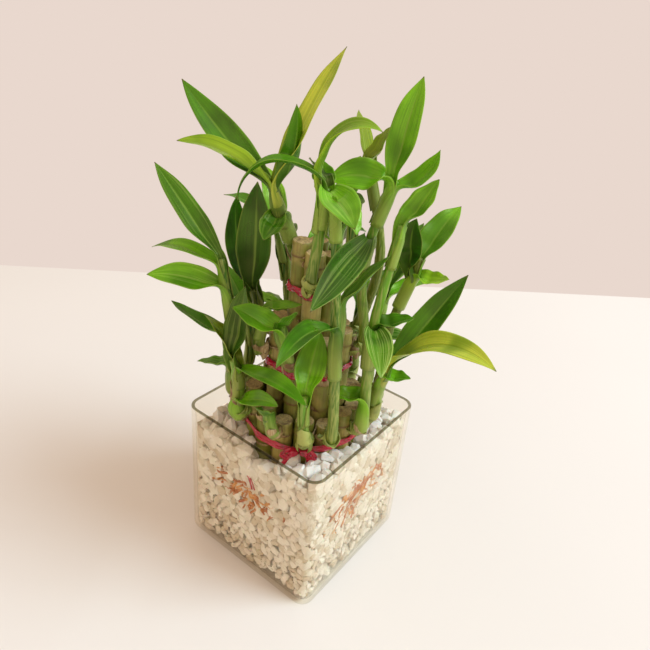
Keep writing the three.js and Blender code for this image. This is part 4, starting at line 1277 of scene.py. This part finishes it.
class BAMBOO_OT_ribbons(bpy.types.Operator):
    """Tie the tiers with gathered red satin ribbon, the lower tie with its knots and tails"""

    bl_idname = "bamboo.ribbons"
    bl_label = "Ribbons"

    def execute(self, context):
        s = context.scene.bamboo_ribbons
        finish = satin_finish(s)
        random = np.random.default_rng(17)
        for name, tier, height, lift, knot in TIES:
            parts = [self.band(s, random, tier, height, lift)]
            if name == "ribbon_foot":
                parts.append(self.loose_end(random))
            if knot is not None:
                parts += self.knot(random, tier, height, knot)
            piece = make_piece(f"satin_{name}", parts, [finish])
            settle(piece, "satin_ribbon", name)
        return {"FINISHED"}

    def loose_end(self, random):
        """The end of the buried ribbon, which bends out to the glass and down behind it."""
        corners = np.array([(-5, -37, 63), (-4, -42, 68), (-3, -46.3, 72), (-0.5, -47.0, 72.5),
                            (2, -47.1, 70), (4, -47.0, 65)])
        share = np.linspace(0, 1, len(corners))
        path = resampled(corners, share, np.linspace(0, 1, 24))
        for _ in range(3):
            path[1:-1] = (path[:-2] + 2 * path[1:-1] + path[2:]) / 4
        return (*strip(path, np.array([0.3, 0, 1.0]), 3.0, 0.4, random), 0, {})

    def band(self, s, random, tier, height, lift):
        """A gathered band: round its loop of cross-sections the pleats lift it by sines of the
        place across it, whose phases drift with the way round, and its width swells and shrinks."""
        line, normal = round_tier(tier, 1.0)
        way = np.linspace(0, 2 * np.pi, len(line), endpoint=False)[:, None]
        turn = np.linspace(0, 2 * np.pi, 20, endpoint=False)
        phase = random.uniform(0, 6, 6)
        width = s.width / MM * (1 + 0.16 * np.sin(7 * way + phase[0]) + 0.1 * np.sin(17 * way + phase[1]))
        v = np.cos(turn)
        pleats = (0.34 * np.sin(5.5 * v + phase[2] + 2.3 * np.sin(5 * way + phase[3]))
                  + 0.2 * np.sin(10 * v + phase[4] + 3 * np.sin(9 * way)))
        thick = s.thickness / MM * (0.75 + 0.25 * np.sin(11 * way + phase[5]))
        over = np.sin(turn) * thick + pleats * (1 - 0.3 * v**2)
        far = np.maximum(unit(line) @ bearing(200.0), 0)[:, None] ** 2
        z = height + lift * far + v * width / 2 + 0.5 * np.sin(3 * way + phase[1]) + 0.25 * np.sin(13 * way)
        rings = line[:, None] + normal[:, None] * over[..., None]
        rings[..., 2] = z
        points = rings.reshape(-1, 3)
        quads = grid_quads(len(line) + 1, 20, wrap=True) % len(points)
        return points, [quads], 0, {}

    def knot(self, random, tier, height, azimuth):
        """Two bunched knots side by side, each a ball whose radius is creased by sines of its two
        angles, with a loop and a tail of flat ribbon from each."""
        out, along = bearing(azimuth), bearing(azimuth + 90)
        reach = TIERS[tier][1] + CANE_RADIUS + 1.6
        up = np.array([0, 0, 1.0])
        parts = []
        theta, phi = np.meshgrid(np.radians(np.linspace(8, 172, 14)),
                                 np.linspace(0, 2 * np.pi, 22, endpoint=False), indexing="ij")
        for offset, size in ((-3.2, 2.7), (3.0, 2.5)):
            phase = random.uniform(0, 6, 3)
            radius = size * (1 + 0.12 * np.sin(5 * phi + phase[0]) * np.sin(theta)
                             + 0.1 * np.sin(4 * theta + phase[1])
                             + 0.06 * np.sin(9 * phi + 3 * theta + phase[2]))
            ball = np.stack([np.cos(theta), np.sin(theta) * np.cos(phi) * 0.9,
                             np.sin(theta) * np.sin(phi)], axis=-1)
            ball = ball * radius[..., None]
            centre = out * (reach + 0.9) + along * offset + up * (height - 0.6)
            rings = centre + ball[..., :1] * along + ball[..., 1:2] * out + ball[..., 2:] * up
            parts.append((*closed_tube(rings), 0, {}))
            way = np.linspace(0, 1, 22)[:, None]
            sign = np.sign(offset)
            swing = np.sin(np.pi * way)
            loop = (out * (reach + 1.4 + 2.2 * swing)
                    + along * (offset + sign * (1.5 + 6.0 * swing ** 0.8) * 0.8)
                    + up * (height + 1.4 - 6.2 * way + 1.2 * swing))
            parts.append((*strip(loop, up, 3.2, 0.4, random), 0, {}))
            tail = (out * (reach + 1.2 + 1.6 * way)
                    + along * (offset + sign * (0.6 + 3.4 * way + 1.5 * way**2))
                    + up * (height - 1.0 - 6.5 * way**1.2 + 0.8 * np.sin(5 * way)))
            parts.append((*strip(tail, along, 3.0 - 0.8 * way[:, 0], 0.4, random), 0, {}))
        return parts


# ---- The stage ---------------------------------------------------------------------------

class BAMBOO_OT_stage(bpy.types.Operator):
    """Set the pale table, the soft light and the camera of the photograph"""

    bl_idname = "bamboo.stage"
    bl_label = "Stage"

    def execute(self, context):
        s = context.scene.bamboo_stage
        self.table(s)
        self.light(s, context.scene)
        self.camera(context.scene)
        return {"FINISHED"}

    def table(self, s):
        """A large level sheet whose far edge is the table's edge behind the plant."""
        a, b = (np.array([*p, -0.15]) for p in FLOOR_EDGE)
        along = unit(b - a)
        near = np.array([along[1], -along[0], 0.0])
        middle = (a + b) / 2
        corners = np.array([middle - along * 4000, middle + along * 4000,
                            middle + along * 4000 + near * 5000, middle - along * 4000 + near * 5000])
        mesh = bpy.data.meshes.new("table")
        mesh.from_pydata((corners * MM).tolist(), [], [(3, 2, 1, 0)])
        finish = Finish("pale_table")
        clouds = finish.noise(finish.place(), 3.0, 2.0)
        dull = [c * 0.97 for c in s.floor]
        finish.colour(finish.mix(finish.between(clouds, 0.2, 0.8), dull, tuple(s.floor)))
        finish.set(Roughness=0.9, Specular_IOR_Level=0.05)
        mesh.materials.append(finish.material)
        table = bpy.data.objects.new("table", mesh)
        bpy.context.scene.collection.objects.link(table)

    def light(self, s, scene):
        world = bpy.data.worlds.new("soft_air")
        world.use_nodes = True
        tree = world.node_tree
        seen, lit = tree.nodes["Background"], tree.nodes.new("ShaderNodeBackground")
        seen.inputs["Color"].default_value = (*s.wall, 1.0)
        lit.inputs["Color"].default_value = (1.0, 0.8, 0.65, 1.0)
        lit.inputs["Strength"].default_value = s.air
        path, both = tree.nodes.new("ShaderNodeLightPath"), tree.nodes.new("ShaderNodeMixShader")
        tree.links.new(path.outputs["Is Camera Ray"], both.inputs[0])
        tree.links.new(lit.outputs[0], both.inputs[1])
        tree.links.new(seen.outputs[0], both.inputs[2])
        tree.links.new(both.outputs[0], tree.nodes["World Output"].inputs["Surface"])
        scene.world = world
        lights = (
            ("key", (1.79, 0.99, 2.19), 1.5, s.key, (0.62, 0.83, 1.0)),
            ("fill", (0.3, -1.2, 0.9), 0.9, s.key * 0.02, (0.9, 0.93, 1.0)),
        )
        for name, place, size, power, tint in lights:
            lamp = bpy.data.lights.new(name, "AREA")
            lamp.size, lamp.energy, lamp.color = size, power, tint
            away = unit(np.array(place) - np.array([0, 0, 0.12]))
            side = unit(np.cross([0, 0, 1.0], away))
            up = np.cross(away, side)
            stand(name, lamp, (side, up, away), place)

    def camera(self, scene):
        """The camera looks back along its bearing and height, turned about its own line by roll."""
        turn, height, roll = (math.radians(CAMERA[k]) for k in ("azimuth", "elevation", "roll"))
        back = np.array([math.sin(turn) * math.cos(height), -math.cos(turn) * math.cos(height),
                         math.sin(height)])
        level = np.array([math.cos(turn), math.sin(turn), 0.0])
        upright = np.cross(back, level)
        right = level * math.cos(roll) + upright * math.sin(roll)
        up = upright * math.cos(roll) - level * math.sin(roll)
        place = level * CAMERA["side"] + np.array([0, 0, CAMERA["height"]]) + back * CAMERA["distance"]
        lens = bpy.data.cameras.new("view")
        lens.lens, lens.sensor_width = CAMERA["lens"], 36.0
        lens.clip_start, lens.clip_end = 0.01, 20.0
        scene.camera = stand("view", lens, (right, up, back), place * MM)
        scene.view_settings.view_transform = "Standard"


# ---- The add-on --------------------------------------------------------------------------

SETTINGS = {
    "bamboo_vase": BambooVaseSettings,
    "bamboo_stones": BambooStoneSettings,
    "bamboo_canes": BambooCaneSettings,
    "bamboo_shoots": BambooShootSettings,
    "bamboo_ribbons": BambooRibbonSettings,
    "bamboo_roots": BambooRootSettings,
    "bamboo_stage": BambooStageSettings,
}
OPERATORS = (
    BAMBOO_OT_stage, BAMBOO_OT_vase, BAMBOO_OT_stones, BAMBOO_OT_roots, BAMBOO_OT_canes,
    BAMBOO_OT_shoots, BAMBOO_OT_ribbons,
)


class BAMBOO_PT_panel(bpy.types.Panel):
    """Lists the pieces of the plant with their settings"""

    bl_idname = "BAMBOO_PT_panel"
    bl_label = "Lucky Bamboo"
    bl_space_type = "VIEW_3D"
    bl_region_type = "UI"
    bl_category = "Bamboo"

    def draw(self, context):
        for operator in OPERATORS:
            box = self.layout.box()
            box.operator(operator.bl_idname)
            settings = getattr(context.scene, operator.bl_idname.replace(".", "_"))
            for key in settings.bl_rna.properties.keys():
                if key not in ("rna_type", "name"):
                    box.prop(settings, key)


def register():
    for kind in (*SETTINGS.values(), *OPERATORS, BAMBOO_PT_panel):
        bpy.utils.register_class(kind)
    for name, kind in SETTINGS.items():
        setattr(bpy.types.Scene, name, bpy.props.PointerProperty(type=kind))


def unregister():
    for name in SETTINGS:
        delattr(bpy.types.Scene, name)
    for kind in (BAMBOO_PT_panel, *reversed(OPERATORS), *SETTINGS.values()):
        bpy.utils.unregister_class(kind)


def main():
    register()
    for operator in OPERATORS:
        getattr(bpy.ops.bamboo, operator.bl_idname.split(".")[1])()


if __name__ == "__main__":
    main()
